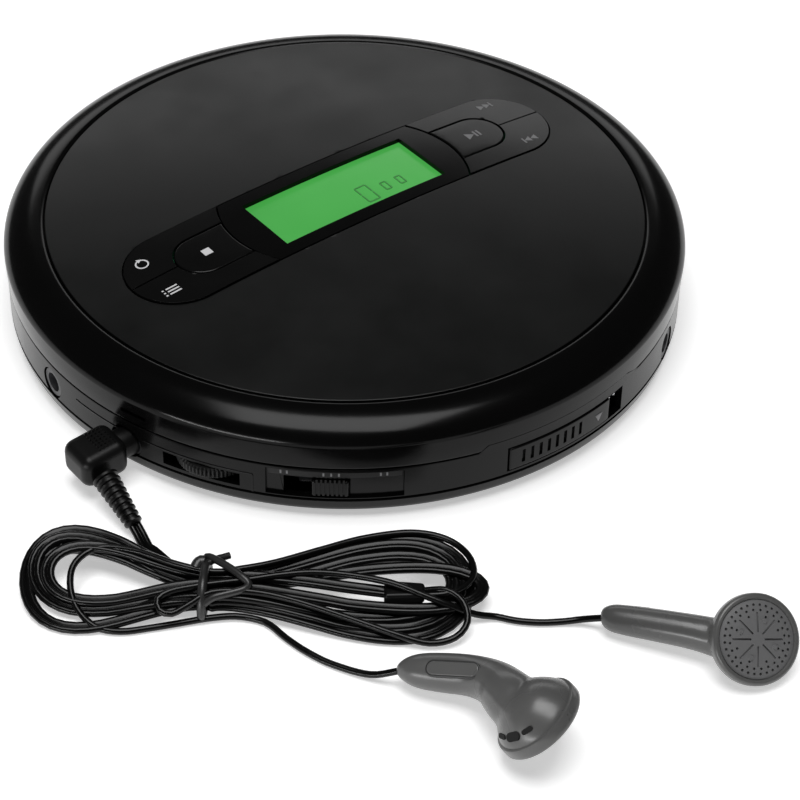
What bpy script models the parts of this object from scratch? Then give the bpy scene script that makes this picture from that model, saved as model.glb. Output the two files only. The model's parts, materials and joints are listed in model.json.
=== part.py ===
"""A round portable compact disc player with its plugged-in earphones.

Units are metres, +Z is up. The origin is on the table under the middle of the round body,
+X is to the listener's right and +Y is towards the lid hinge.
"""

import math

import bmesh
import bpy
from mathutils import Matrix, Vector

# Clearance
GAP = 0.0003  # between two pieces that touch
KEY_GAP = 0.00035  # round each key

# Round body, from the table up
SEGMENTS = 72  # facets round a large turned piece
BODY_RADIUS = 0.0700  # widest part of the lid
CASE_RADIUS = 0.0698  # upright side of the case
WALL = 0.0016  # side walls
FOOT_HEIGHT = 0.0010  # bottom of the base above the table
FLOOR = 0.0014  # thickness of the base's floor
BASE_TOP = 0.0046  # joint between base and upper case
CASE_TOP = 0.0123  # joint between upper case and lid
LEDGE = 0.0013  # thickness of the case's top ledge

# Disc well in the upper case
WELL_RADIUS = 0.0614
WELL_FLOOR = 0.0159
WELL_RIM_HEIGHT = 0.0183
WELL_RIM_RADIUS = 0.0638
RISER_RADIUS = 0.0652
WELL_SKIN = 0.0011

# Lid
SHOULDER_HEIGHT = 0.0176  # where the lid is widest
PANEL_RADIUS = 0.0617  # groove between the shiny rim and the matte panel
PANEL_EDGE_HEIGHT = 0.0223
LID_CROWN = 0.0256  # top of the matte panel
LID_SKIN = 0.0011
SHOULDER_POWER = 1.8  # 2 would be an ellipse
LID_LEDGE_RADIUS = 0.0590
COVER_RADIUS = 0.0584
COVER_LOW = 0.0205
COVER_SKIN = 0.0007

# Control pod on the lid
POD_CENTRE = (0.0006, 0.0012)
POD_HALF_LENGTH = 0.0522
POD_HALF_WIDTH = 0.0113
KEY_HALF_WIDTH = 0.0057
KEY_HALF_LENGTH = 0.0409
KEY_PROUD = 0.00025
KEY_TRAVEL = 0.0004
WINDOW_BULGE = 0.0272
WINDOW_ARC_RADIUS = 0.0207
KEY_BOARD_LOW = 0.0215
KEY_BOARD_SKIN = 0.0006
LCD_HALF_SIZE = (0.0215, 0.0088)
LCD_HEIGHT = 0.0009

# Hinge at the back of the lid
HINGE_Y = 0.0679
HINGE_Z = 0.0130
KNUCKLE_RADIUS = 0.0021
LID_KNUCKLE_HALF = 0.0070
CASE_KNUCKLE_INNER = 0.0105
CASE_KNUCKLE_OUTER = 0.0169
HINGE_PIN_RADIUS = 0.0009

# Opener on the front
OPENER_START, OPENER_END = 259.3, 280.0  # degrees round the body
OPENER_TRAVEL = 3.3  # degrees
OPENER_LOW, OPENER_HIGH = 0.0059, 0.0112
TONGUE_HEIGHT = 0.0014  # how far the case steps up over the opener
TONGUE_HALF = 0.0173
TONGUE_RAMPS = (0.0019, 0.0046)  # length of its left and right slopes

# Side controls and sockets, in degrees round the body
DC_JACK_ANGLE, DC_JACK_Z, DC_JACK_RADIUS = 177.3, 0.0078, 0.0030
DC_PIN_RADIUS = 0.0006
PHONES_ANGLE, PHONES_Z, PHONES_RADIUS = 180.0, 0.0070, 0.0033
PHONES_ASIDE = 0.0190  # the jack's axis lies this far in front of the middle
LINE_ANGLE, LINE_Z, LINE_RADIUS = 301.0, 0.0072, 0.0033
WHEEL_ANGLE = 209.7
WHEEL_RADIUS = 0.0078
WHEEL_LOW, WHEEL_HIGH = 0.0061, 0.0085
WHEEL_STAND_OUT = 0.0009
WHEEL_SLOT_MARGIN = 0.0009  # free slot at each end of the wheel
POT_RADIUS, POT_SHAFT_RADIUS = 0.0047, 0.0017
SWITCH_ANGLE = 230.5
SWITCH_PANEL_START, SWITCH_PANEL_END = 220.4, 242.0
SWITCH_PANEL_DEPTH = 0.0007
KNOB_WIDTH = 0.0070
KNOB_LOW, KNOB_HIGH = 0.0056, 0.0094
KNOB_TRAVEL = 0.0050
JACK_DEPTH = 0.0120
JACK_WIDTH = 0.0074
JACK_HIGH = 0.0104

# Boards and cells
BOARD_RADIUS = 0.0605
BOARD_LOW, BOARD_SKIN = 0.0032, 0.0010
CELL_RADIUS, CELL_LENGTH = 0.0071, 0.0500
CELL_GAP = 0.0006
BAY_FRONT_Y = 0.0162
BAY_WALL = 0.0010
BAY_HALF_LENGTH = 0.0290
DOOR_MARGIN = 0.0012
DOOR_HINGE_GAP = 0.0008

# Disc drive
HUB_RADIUS, BOSS_RADIUS = 0.0120, 0.0073
DISC_HEIGHT = 0.0187  # underside of a disc on the hub
SPINDLE_RADIUS = 0.0009
MOTOR_RADIUS = 0.0093
CHASSIS_LOW, CHASSIS_HIGH = 0.0134, 0.0145
CHASSIS_HALF_WIDTH = 0.0098
RAIL_Y, RAIL_Z = 0.0083, 0.0087
RAIL_RADIUS = 0.0010
LEAD_IN_RADIUS = 0.0240
SLED_TRAVEL = 0.0330
SLED_INNER, SLED_OUTER = 0.0090, 0.0040
LENS_HALF = 0.0036
GEAR_RADIUS, PINION_RADIUS = 0.0042, 0.0018
FEED_MOTOR_RADIUS = 0.0039
FEED_MOTOR_Y, FEED_MOTOR_Z = -0.0146, 0.0091
EAR_START = 0.0614
EAR_SKIN = 0.0010

# Fasteners and feet
SCREW_ANGLES = (30.0, 140.0, 322.0)
SCREW_CIRCLE = 0.0639
SCREW_HEAD_RADIUS, SCREW_RADIUS, BOSS_WALL = 0.0019, 0.0009, 0.0009
FOOT_ANGLES = (48.0, 132.0, 228.0, 312.0)
FOOT_CIRCLE = 0.0560
FOOT_RADIUS = 0.0040

# Earphones
PLUG_LENGTH, PLUG_WIDTH, PLUG_HEIGHT = 0.0100, 0.0090, 0.0076
TIP_RADIUS, TIP_LENGTH = 0.00175, 0.0110
LEAD_RADIUS = 0.00065
TWIN_RADIUS = 0.0010
RELIEF_START, RELIEF_END = (-0.0755, -0.0249, 0.0060), (-0.0760, -0.0350, 0.0022)
RELIEF_THICK, RELIEF_THIN = 0.0026, 0.0017
PLUG_LEAD = (
    (-0.0760, -0.0356, 0.0018),
    (-0.0760, -0.0364, 0.0015),
    (-0.0761, -0.0373, 0.0013),
)
LEFT_LEAD = (
    (-0.0701, -0.0704, 0.0008),
    (-0.0697, -0.0745, 0.0007),
    (-0.0687, -0.0796, 0.0007),
    (-0.0668, -0.0848, 0.0007),
    (-0.0641, -0.0899, 0.0012),
    (-0.0623, -0.0926, 0.0019),
)
RIGHT_LEAD = (
    (-0.0363, -0.0932, 0.0008),
    (-0.0340, -0.0961, 0.0007),
    (-0.0309, -0.0990, 0.0007),
    (-0.0275, -0.1014, 0.0008),
    (-0.0249, -0.1032, 0.0015),
    (-0.0233, -0.1049, 0.0024),
)
HANK_CENTRE, HANK_ANGLE = (-0.0688, -0.0632), -38.8
HANK_LOW, HANK_HIGH = 0.0010, 0.0068
HANK_HALF_LENGTH = 0.0430
HANK_LEFT_HALF, HANK_RIGHT_HALF = 0.0115, 0.0140
HANK_LEFT_SHIFT, HANK_RIGHT_SHIFT = 0.0038, 0.0031
WAIST_ALONG, WAIST_SHIFT, WAIST_HALF = -0.0068, 0.0018, 0.0052
TIE_WIDTH, TIE_SKIN = 0.0026, 0.0006
SPLITTER_LOW, SPLITTER_HIGH = (-0.0478, -0.0802, 0.0036), (-0.0427, -0.0752, 0.0068)
BUD_RADIUS, BUD_DEPTH = 0.0082, 0.0075
STEM_THIN, STEM_THICK = 0.0027, 0.0034
GRILLE_SKIN = 0.0008


def start():
    """Empties the scene and makes one collection for the player and one for its cutters."""
    for obj in list(bpy.data.objects):
        bpy.data.objects.remove(obj)
    made = []
    for name in ("portable_disc_player", "cutters"):
        collection = bpy.data.collections.new(name)
        bpy.context.scene.collection.children.link(collection)
        made.append(collection)
    return made


PLAYER, CUTTERS = start()


def material(name, colour, roughness, metallic=0.0):
    made = bpy.data.materials.new(name)
    made.use_nodes = True
    shader = made.node_tree.nodes["Principled BSDF"]
    shader.inputs["Base Color"].default_value = (*colour, 1)
    shader.inputs["Roughness"].default_value = roughness
    shader.inputs["Metallic"].default_value = metallic
    return made


GLOSS_BLACK = ((0.008, 0.008, 0.009), 0.12)
MATTE_BLACK = ((0.012, 0.012, 0.013), 0.45)
SATIN_BLACK = ((0.018, 0.018, 0.019), 0.35)
DARK_GREY = ((0.06, 0.06, 0.065), 0.40)
CORD_BLACK = ((0.015, 0.015, 0.016), 0.32)
SOFT_BLACK = ((0.02, 0.02, 0.02), 0.75)
STEEL = ((0.55, 0.55, 0.57), 0.28, 1.0)
BRASS = ((0.75, 0.56, 0.24), 0.30, 1.0)
BOARD_GREEN = ((0.02, 0.16, 0.07), 0.45)
LCD_GREEN = ((0.10, 0.75, 0.20), 0.30)
CELL_BLUE = ((0.05, 0.10, 0.30), 0.30)
WHITE_PLASTIC = ((0.75, 0.74, 0.70), 0.40)


def place(obj, look=None):
    """Puts an object in the player's collection with its own material, or among the cutters."""
    for collection in list(obj.users_collection):
        collection.objects.unlink(obj)
    if look is None:
        CUTTERS.objects.link(obj)
        obj.hide_render = True
        obj.display_type = "WIRE"
    else:
        PLAYER.objects.link(obj)
        obj.data.materials.clear()
        obj.data.materials.append(material(obj.name, *look))
    return obj


def from_bmesh(name, shape, look):
    mesh = bpy.data.meshes.new(name)
    shape.to_mesh(mesh)
    shape.free()
    return place(bpy.data.objects.new(name, mesh), look)


def smooth(obj, angle=35):
    obj.data.shade_smooth()
    obj.data.set_sharp_from_angle(angle=math.radians(angle))
    return obj


def box(name, low, high, look=None, bevel=0.0):
    """A box between two corners, with an optional rounded edge."""
    shape = bmesh.new()
    bmesh.ops.create_cube(shape, size=1)
    low, high = Vector(low), Vector(high)
    bmesh.ops.scale(shape, vec=high - low, verts=shape.verts)
    obj = from_bmesh(name, shape, look)
    obj.location = (low + high) / 2
    if bevel:
        rounded = obj.modifiers.new("edges", "BEVEL")
        rounded.width = bevel
        rounded.segments = 2
    return obj


def rod(name, begin, end, radius, look=None, segments=20, end_radius=None):
    """A cylinder or cone from one point to another."""
    begin, end = Vector(begin), Vector(end)
    shape = bmesh.new()
    bmesh.ops.create_cone(
        shape,
        cap_ends=True,
        segments=segments,
        radius1=radius,
        radius2=radius if end_radius is None else end_radius,
        depth=(end - begin).length,
    )
    obj = smooth(from_bmesh(name, shape, look))
    obj.location = (begin + end) / 2
    obj.rotation_euler = (end - begin).to_track_quat("Z", "Y").to_euler()
    return obj


def turned(name, profile, look=None, segments=SEGMENTS):
    """A profile of (radius, height) turned about Z. It closes on itself unless it meets the axis."""
    mesh = bpy.data.meshes.new(name)
    count = len(profile)
    on_axis = profile[0][0] == 0
    edges = [(i, (i + 1) % count) for i in range(count - 1 if on_axis else count)]
    mesh.from_pydata([(radius, 0, height) for radius, height in profile], edges, [])
    obj = place(bpy.data.objects.new(name, mesh), look)
    screw = obj.modifiers.new("turn", "SCREW")
    screw.steps = screw.render_steps = segments
    screw.use_merge_vertices = True
    screw.merge_threshold = 0.00001
    screw.use_smooth_shade = True
    return obj


def prism(name, outline, low, high, look=None):
    """A flat outline, drawn as a filled curve and given its height, made a mesh."""
    curve = bpy.data.curves.new(name + "_outline", "CURVE")
    curve.dimensions = "2D"
    curve.fill_mode = "BOTH"
    curve.extrude = (high - low) / 2
    spline = curve.splines.new("POLY")
    spline.points.add(len(outline) - 1)
    for point, (x, y) in zip(spline.points, outline):
        point.co = (x, y, 0, 1)
    spline.use_cyclic_u = True
    obj = as_mesh(name, curve, look)
    obj.location.z = (low + high) / 2
    return obj


def as_mesh(name, curve, look):
    """A curve made a mesh, its caps welded to its sides."""
    drawn = bpy.data.objects.new(name + "_curve", curve)
    bpy.context.scene.collection.objects.link(drawn)
    bpy.context.view_layer.update()
    mesh = bpy.data.meshes.new_from_object(
        drawn.evaluated_get(bpy.context.evaluated_depsgraph_get())
    )
    bpy.data.objects.remove(drawn)
    shape = bmesh.new()
    shape.from_mesh(mesh)
    bmesh.ops.remove_doubles(shape, verts=shape.verts, dist=0.000001)
    bmesh.ops.recalc_face_normals(shape, faces=shape.faces)
    bpy.data.meshes.remove(mesh)
    return from_bmesh(name, shape, look)


def smooth_path(points, step):
    """Points about step apart on a smooth curve through the given ones."""
    points = [Vector(p) for p in points]
    ends = [2 * points[0] - points[1]] + points + [2 * points[-1] - points[-2]]
    found = []
    for before, a, b, after in zip(ends, ends[1:], ends[2:], ends[3:]):
        pieces = max(1, round((b - a).length / step))
        for k in range(pieces):
            t = k / pieces
            found.append(
                0.5
                * (
                    2 * a
                    + (b - before) * t
                    + (2 * before - 5 * a + 4 * b - after) * t**2
                    + (3 * a - before - 3 * b + after) * t**3
                )
            )
    return found + [points[-1]]


def tube(name, points, radius, look):
    """A round cord or wire along a chain of points."""
    curve = bpy.data.curves.new(name, "CURVE")
    curve.dimensions = "3D"
    curve.bevel_depth = radius
    curve.bevel_resolution = 2
    curve.use_fill_caps = True
    spline = curve.splines.new("POLY")
    spline.points.add(len(points) - 1)
    for point, place_at in zip(spline.points, points):
        point.co = (*place_at, 1)
    return place(bpy.data.objects.new(name, curve), look)


def combine(obj, tool, operation):
    step = obj.modifiers.new(f"{operation.lower()} {tool.name}", "BOOLEAN")
    step.operation = operation
    step.solver = "EXACT"
    step.object = tool
    return obj


def cut(obj, tool):
    return combine(obj, tool, "DIFFERENCE")


def keep(obj, tool):
    return combine(obj, tool, "INTERSECT")


def join(obj, tool):
    return combine(obj, tool, "UNION")


def on_circle(radius, degrees, height=None):
    """A point on a circle about Z, with its height where one is given."""
    x, y = radius * math.cos(math.radians(degrees)), radius * math.sin(math.radians(degrees))
    return (x, y) if height is None else (x, y, height)


def arc(centre, radius, first, last, steps):
    """Points on an arc between two angles in degrees."""
    return [
        (centre[0] + x, centre[1] + y)
        for x, y in (on_circle(radius, first + (last - first) * k / steps) for k in range(steps + 1))
    ]


def sector(name, inner, outer, low, high, first, last, look=None):
    """A piece of a ring between two angles in degrees."""
    steps = max(2, round(abs(last - first) / 4))
    outline = arc((0, 0), outer, first, last, steps) + arc((0, 0), inner, last, first, steps)
    return prism(name, outline, low, high, look)


def along(line, outward, height):
    """A point on a line (its direction in degrees, its distance to the left of the middle)."""
    degrees, aside = line
    x, y = on_circle(outward, degrees)
    left_x, left_y = on_circle(aside, degrees + 90)
    return x + left_x, y + left_y, height


def along_box(name, line, reach, half_width, heights, look=None, bevel=0.0):
    """A box that runs outwards on such a line."""
    obj = box(name, (reach[0], -half_width, heights[0]), (reach[1], half_width, heights[1]), look, bevel)
    obj.location = along(line, (reach[0] + reach[1]) / 2, (heights[0] + heights[1]) / 2)
    obj.rotation_euler.z = math.radians(line[0])
    return obj


def pivot(name, point):
    """An empty on a joint's axis."""
    empty = bpy.data.objects.new(name, None)
    empty.location = point
    empty.empty_display_size = 0.005
    PLAYER.objects.link(empty)
    return empty


def carry(empty, *pieces):
    """Parents pieces to a joint's empty where they stand."""
    bpy.context.view_layer.update()
    for piece in pieces:
        piece.parent = empty
        piece.matrix_parent_inverse = empty.matrix_world.inverted()


def dome(radius, offset=0.0):
    """Height of the matte panel's top at a distance from the middle."""
    rise = LID_CROWN - PANEL_EDGE_HEIGHT
    return PANEL_EDGE_HEIGHT + rise * (1 - (radius / PANEL_RADIUS) ** 2) + offset


def dome_line(radius, offset=0.0, steps=7):
    """(radius, height) points on the panel's top, from the middle outwards."""
    return [(radius * k / steps, dome(radius * k / steps, offset)) for k in range(steps + 1)]


# ---------------------------------------------------------------- case

FLOOR_TOP = FOOT_HEIGHT + FLOOR
CASE_BOTTOM = BASE_TOP + GAP
CASE_INNER = CASE_RADIUS - WALL
LID_BOTTOM = CASE_TOP + GAP
LID_INNER = CASE_RADIUS - WALL + 0.0001
CELL_HEIGHT = FLOOR_TOP + GAP + CELL_RADIUS
BAY_CEILING = CELL_HEIGHT + CELL_RADIUS + GAP
BAY_BACK_Y = BAY_FRONT_Y + 2 * BAY_WALL + 4 * CELL_RADIUS + CELL_GAP + 2 * GAP
CELL_FRONT_Y = BAY_FRONT_Y + BAY_WALL + GAP + CELL_RADIUS
CELL_BACK_Y = CELL_FRONT_Y + 2 * CELL_RADIUS + CELL_GAP
DOOR_LOW = (-BAY_HALF_LENGTH, BAY_FRONT_Y)
DOOR_HIGH = (BAY_HALF_LENGTH, BAY_BACK_Y)
SLED_START = LEAD_IN_RADIUS - SLED_INNER
WHEEL_DISTANCE = CASE_RADIUS + WHEEL_STAND_OUT - WHEEL_RADIUS
WHEEL_CENTRE = on_circle(WHEEL_DISTANCE, WHEEL_ANGLE)
PHONES_LINE = (PHONES_ANGLE, PHONES_ASIDE)
SOCKETS = (
    ("dc_jack", (DC_JACK_ANGLE, 0), DC_JACK_Z, DC_JACK_RADIUS),
    ("headphone_jack", PHONES_LINE, PHONES_Z, PHONES_RADIUS),
    ("line_out_jack", (LINE_ANGLE, 0), LINE_Z, LINE_RADIUS),
)


def wheel_slot_half_angle():
    """Half the angle of the wall that the wheel passes through, with its clearance."""
    reach = WHEEL_RADIUS + GAP
    wall = CASE_INNER - 0.0001
    cosine = (WHEEL_DISTANCE**2 + wall**2 - reach**2) / (2 * WHEEL_DISTANCE * wall)
    return math.degrees(math.acos(cosine) + WHEEL_SLOT_MARGIN / wall)


def nose_end(line, radius):
    """How far out a socket's nose runs to end just inside the case's round side."""
    return math.sqrt((CASE_RADIUS - 0.0003) ** 2 - (abs(line[1]) + radius) ** 2)


def socket_hole(name, line, height, radius):
    """The round hole that a socket's nose stands in, through both halves of the case."""
    ends = along(line, CASE_INNER - 0.008, height), along(line, BODY_RADIUS + 0.002, height)
    return rod(name, *ends, radius + GAP)


def screw_places():
    return [on_circle(SCREW_CIRCLE, angle) for angle in SCREW_ANGLES]


def foot_places():
    return [on_circle(FOOT_CIRCLE, angle) for angle in FOOT_ANGLES]


def make_base():
    """The bottom shell, with its battery hatch, foot pockets and screw holes."""
    base = turned(
        "base_shell",
        [
            (0, FLOOR_TOP),
            (CASE_INNER - 0.0018, FLOOR_TOP),
            (CASE_INNER - 0.0002, FLOOR_TOP + 0.0010),
            (CASE_INNER, BASE_TOP),
            (CASE_RADIUS, BASE_TOP),
            (CASE_RADIUS - 0.0003, FOOT_HEIGHT + 0.0018),
            (CASE_RADIUS - 0.0011, FOOT_HEIGHT + 0.0005),
            (CASE_RADIUS - 0.0023, FOOT_HEIGHT),
            (0, FOOT_HEIGHT),
        ],
        SATIN_BLACK,
    )
    hatch_low = (DOOR_LOW[0] - GAP, DOOR_LOW[1] - DOOR_HINGE_GAP, 0)
    hatch_high = (DOOR_HIGH[0] + GAP, DOOR_HIGH[1] + GAP, FLOOR_TOP + 0.001)
    cut(base, box("cut_hatch", hatch_low, hatch_high))
    for name, line, height, radius in SOCKETS:
        cut(base, socket_hole(f"cut_{name}_notch", line, height, radius))
    for number, (x, y) in enumerate(foot_places(), 1):
        depth = FOOT_HEIGHT + FLOOR / 2
        cut(base, rod(f"cut_foot_{number}", (x, y, 0), (x, y, depth), FOOT_RADIUS + GAP))
    for number, (x, y) in enumerate(screw_places(), 1):
        hole = rod(
            f"cut_screw_{number}",
            (x, y, 0),
            (x, y, FLOOR_TOP + 0.0004),
            SCREW_HEAD_RADIUS + GAP,
            segments=16,
        )
        cut(base, hole)


def make_battery_door():
    """The hatch over the cells. It swings down about its front edge."""
    middle = FOOT_HEIGHT + FLOOR / 2
    axis_y = DOOR_LOW[1] + FLOOR / 2
    door = box(
        "battery_door",
        (DOOR_LOW[0], DOOR_LOW[1], FOOT_HEIGHT),
        (DOOR_HIGH[0], DOOR_HIGH[1], FLOOR_TOP),
        SATIN_BLACK,
        bevel=0.0003,
    )
    carry(pivot("battery_door_axis", (0, axis_y, middle)), door)


def make_feet_and_screws():
    for number, (x, y) in enumerate(foot_places(), 1):
        top = FOOT_HEIGHT + FLOOR / 2 - GAP
        rod(f"rubber_foot_{number}", (x, y, 0), (x, y, top), FOOT_RADIUS, SOFT_BLACK)
    for number, (x, y) in enumerate(screw_places(), 1):
        head_low = FOOT_HEIGHT + 0.0003
        screw = rod(
            f"case_screw_{number}",
            (x, y, head_low),
            (x, y, FLOOR_TOP),
            SCREW_HEAD_RADIUS,
            STEEL,
            segments=16,
        )
        shank = rod(
            f"join_shank_{number}",
            (x, y, FLOOR_TOP - 0.0002),
            (x, y, CASE_TOP - 0.0035),
            SCREW_RADIUS,
            segments=12,
        )
        join(screw, shank)


def front_step(name, gap=0.0):
    """The outline of the case's step over the opener, as a block through the front wall."""
    left, right = TONGUE_RAMPS
    low, high = CASE_TOP - 0.0020, CASE_TOP + TONGUE_HEIGHT + gap
    share = (high - low) / (TONGUE_HEIGHT + gap)
    outline = [
        (-TONGUE_HALF - gap - left * share, low),
        (TONGUE_HALF + gap + right * share, low),
        (TONGUE_HALF + gap, high),
        (-TONGUE_HALF - gap, high),
    ]
    step = prism(name, outline, 0.060, 0.072)
    step.rotation_euler.x = math.radians(90)
    step.location = (0, -step.location.z, 0)
    return step


def make_upper_case():
    """Side wall, ledge and disc well, with the battery compartment moulded in."""
    underside = WELL_FLOOR - WELL_SKIN
    case = turned(
        "upper_case",
        [
            (0, WELL_FLOOR),
            (WELL_RADIUS - 0.0005, WELL_FLOOR),
            (WELL_RADIUS, WELL_RIM_HEIGHT),
            (WELL_RIM_RADIUS, WELL_RIM_HEIGHT),
            (WELL_RIM_RADIUS + 0.0008, WELL_RIM_HEIGHT - 0.0009),
            (RISER_RADIUS, CASE_TOP),
            (CASE_RADIUS - 0.0001, CASE_TOP),
            (CASE_RADIUS, CASE_BOTTOM),
            (CASE_INNER, CASE_BOTTOM),
            (CASE_INNER, CASE_TOP - LEDGE),
            (RISER_RADIUS - 0.0012, CASE_TOP - LEDGE),
            (RISER_RADIUS - 0.0016, underside),
            (0, underside),
        ],
        SATIN_BLACK,
    )
    bay = box(
        "join_bay",
        (-BAY_HALF_LENGTH - BAY_WALL, BAY_FRONT_Y, FLOOR_TOP + 2 * GAP),
        (BAY_HALF_LENGTH + BAY_WALL, BAY_BACK_Y, BAY_CEILING + BAY_WALL),
    )
    join(case, bay)
    for number, (x, y) in enumerate(screw_places(), 1):
        boss = rod(
            f"join_boss_{number}",
            (x, y, FLOOR_TOP + GAP),
            (x, y, CASE_TOP - LEDGE / 2),
            SCREW_RADIUS + GAP + BOSS_WALL,
            segments=16,
        )
        join(case, boss)
    rib = sector(
        "join_spring_rib",
        CASE_INNER - 0.0023,
        CASE_INNER + 0.0004,
        OPENER_LOW + 0.0006,
        CASE_TOP - LEDGE / 2,
        OPENER_END + OPENER_TRAVEL + 1.0,
        OPENER_END + OPENER_TRAVEL + 2.2,
    )
    join(case, rib)
    join(case, make_tongue())
    for side in (-1, 1):
        inner, outer = side * CASE_KNUCKLE_INNER, side * CASE_KNUCKLE_OUTER
        knuckle = rod(
            f"join_case_knuckle_{side}",
            (inner, HINGE_Y, HINGE_Z),
            (outer, HINGE_Y, HINGE_Z),
            KNUCKLE_RADIUS,
        )
        join(case, knuckle)

    cavity = box(
        "cut_bay",
        (-BAY_HALF_LENGTH, BAY_FRONT_Y + BAY_WALL, 0),
        (BAY_HALF_LENGTH, BAY_BACK_Y - BAY_WALL, BAY_CEILING),
    )
    cut(case, cavity)
    drive_window = box(
        "cut_drive_window",
        (-HUB_RADIUS - 0.0015, -0.0130, underside - 0.001),
        (WELL_RADIUS - 0.0001, 0.0135, WELL_FLOOR + 0.0003),
    )
    cut(case, drive_window)
    for number, (x, y) in enumerate(screw_places(), 1):
        hole = rod(
            f"cut_boss_{number}",
            (x, y, 0),
            (x, y, CASE_TOP - 0.0030),
            SCREW_RADIUS + GAP,
            segments=12,
        )
        cut(case, hole)
    hinge_pocket = rod(
        "cut_hinge_pocket",
        (-CASE_KNUCKLE_INNER, HINGE_Y, HINGE_Z),
        (CASE_KNUCKLE_INNER, HINGE_Y, HINGE_Z),
        KNUCKLE_RADIUS + 2 * GAP,
    )
    cut(case, hinge_pocket)
    cut(case, hinge_pin_hole("cut_case_pin_hole"))
    cut_side_openings(case)


def make_tongue():
    """The arc of case wall that steps up over the opener."""
    wall = sector(
        "join_tongue",
        CASE_INNER,
        CASE_RADIUS - 0.0001,
        CASE_TOP - 0.0005,
        CASE_TOP + 0.0050,
        252.0,
        292.0,
    )
    return keep(wall, front_step("keep_tongue"))


def hinge_pin_hole(name):
    reach = CASE_KNUCKLE_OUTER - 0.0006 + GAP
    return rod(
        name,
        (-reach, HINGE_Y, HINGE_Z),
        (reach, HINGE_Y, HINGE_Z),
        HINGE_PIN_RADIUS + GAP,
        segments=16,
    )


def cut_side_openings(case):
    """The openings in the side wall for the opener, sockets, wheel and slide switch."""
    window = sector(
        "cut_opener_window",
        CASE_INNER - 0.0003,
        BODY_RADIUS + 0.001,
        OPENER_LOW - GAP,
        OPENER_HIGH + GAP,
        OPENER_START - 0.3,
        OPENER_END + OPENER_TRAVEL + 0.3,
    )
    cut(case, window)
    hook_slot = sector(
        "cut_hook_slot",
        CASE_INNER - 0.0024,
        CASE_INNER - 0.0005,
        CASE_TOP - LEDGE - 0.0005,
        CASE_TOP + 0.0005,
        266.5,
        273.5 + OPENER_TRAVEL,
    )
    cut(case, hook_slot)
    for name, line, height, radius in SOCKETS:
        cut(case, socket_hole(f"cut_{name}_hole", line, height, radius))
    wheel_slot = sector(
        "cut_wheel_slot",
        CASE_INNER - 0.001,
        BODY_RADIUS + 0.001,
        WHEEL_LOW - GAP,
        WHEEL_HIGH + GAP,
        WHEEL_ANGLE - wheel_slot_half_angle(),
        WHEEL_ANGLE + wheel_slot_half_angle(),
    )
    cut(case, wheel_slot)
    panel = sector(
        "cut_switch_panel",
        CASE_RADIUS - SWITCH_PANEL_DEPTH,
        BODY_RADIUS + 0.001,
        KNOB_LOW - 0.0003,
        CASE_TOP - 0.0007,
        SWITCH_PANEL_START,
        SWITCH_PANEL_END,
    )
    cut(case, panel)
    slot = along_box(
        "cut_knob_slot",
        (SWITCH_ANGLE, -KNOB_TRAVEL / 2),
        (CASE_INNER - 0.002, BODY_RADIUS + 0.001),
        (KNOB_WIDTH + KNOB_TRAVEL) / 2 + GAP,
        (KNOB_LOW - GAP, KNOB_HIGH + GAP),
    )
    cut(case, slot)


# ---------------------------------------------------------------- side controls


def socket_body(name, line, height, radius, bore):
    """A board-mounted socket with its round nose through the case wall."""
    aside = abs(line[1])
    half = JACK_WIDTH / 2
    front = math.sqrt(CASE_INNER**2 - (aside + half) ** 2) - GAP
    low = BOARD_LOW + BOARD_SKIN + GAP
    back = front - JACK_DEPTH
    body = along_box(name, line, (back, front), half, (low, JACK_HIGH), SATIN_BLACK)
    nose = rod(
        f"join_{name}_nose",
        along(line, front - 0.001, height),
        along(line, nose_end(line, radius), height),
        radius,
    )
    join(body, nose)
    hole = rod(
        f"cut_{name}_bore",
        along(line, back + 0.0012, height),
        along(line, BODY_RADIUS + 0.002, height),
        bore,
        segments=16,
    )
    return cut(body, hole)


def make_sockets():
    for name, line, height, radius in SOCKETS:
        bore = TIP_RADIUS + GAP
        body = socket_body(name, line, height, radius, bore)
        if name != "dc_jack":
            continue
        pin = rod(
            "join_dc_pin",
            along(line, CASE_INNER - JACK_DEPTH, height),
            along(line, CASE_INNER - 0.002, height),
            DC_PIN_RADIUS,
            segments=12,
        )
        join(body, pin)


def make_volume_control():
    x, y = WHEEL_CENTRE
    board_top = BOARD_LOW + BOARD_SKIN + GAP
    pot = rod("volume_pot", (x, y, board_top), (x, y, WHEEL_LOW - GAP), POT_RADIUS, DARK_GREY)
    shaft = rod("join_pot_shaft", (x, y, board_top + 0.0005), (x, y, WHEEL_HIGH), POT_SHAFT_RADIUS)
    join(pot, shaft)
    wheel = turned(
        "volume_wheel",
        [
            (POT_SHAFT_RADIUS + GAP, WHEEL_HIGH),
            (WHEEL_RADIUS - 0.0004, WHEEL_HIGH),
            (WHEEL_RADIUS, WHEEL_HIGH - 0.0004),
            (WHEEL_RADIUS, WHEEL_LOW + 0.0004),
            (WHEEL_RADIUS - 0.0004, WHEEL_LOW),
            (POT_SHAFT_RADIUS + GAP, WHEEL_LOW),
        ],
        SATIN_BLACK,
        segments=40,
    )
    wheel.location = (x, y, 0)


def make_slide_switch():
    body_front = CASE_INNER - 0.0034
    along_box(
        "slide_switch",
        (SWITCH_ANGLE, 0),
        (body_front - 0.0055, body_front),
        0.0062,
        (BOARD_LOW + BOARD_SKIN + GAP, KNOB_HIGH - 0.0005),
        STEEL,
        bevel=0.0003,
    )
    along_box(
        "switch_knob",
        (SWITCH_ANGLE, 0),
        (body_front + GAP, CASE_RADIUS),
        KNOB_WIDTH / 2,
        (KNOB_LOW, KNOB_HIGH),
        SATIN_BLACK,
        bevel=0.0004,
    )


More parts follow.
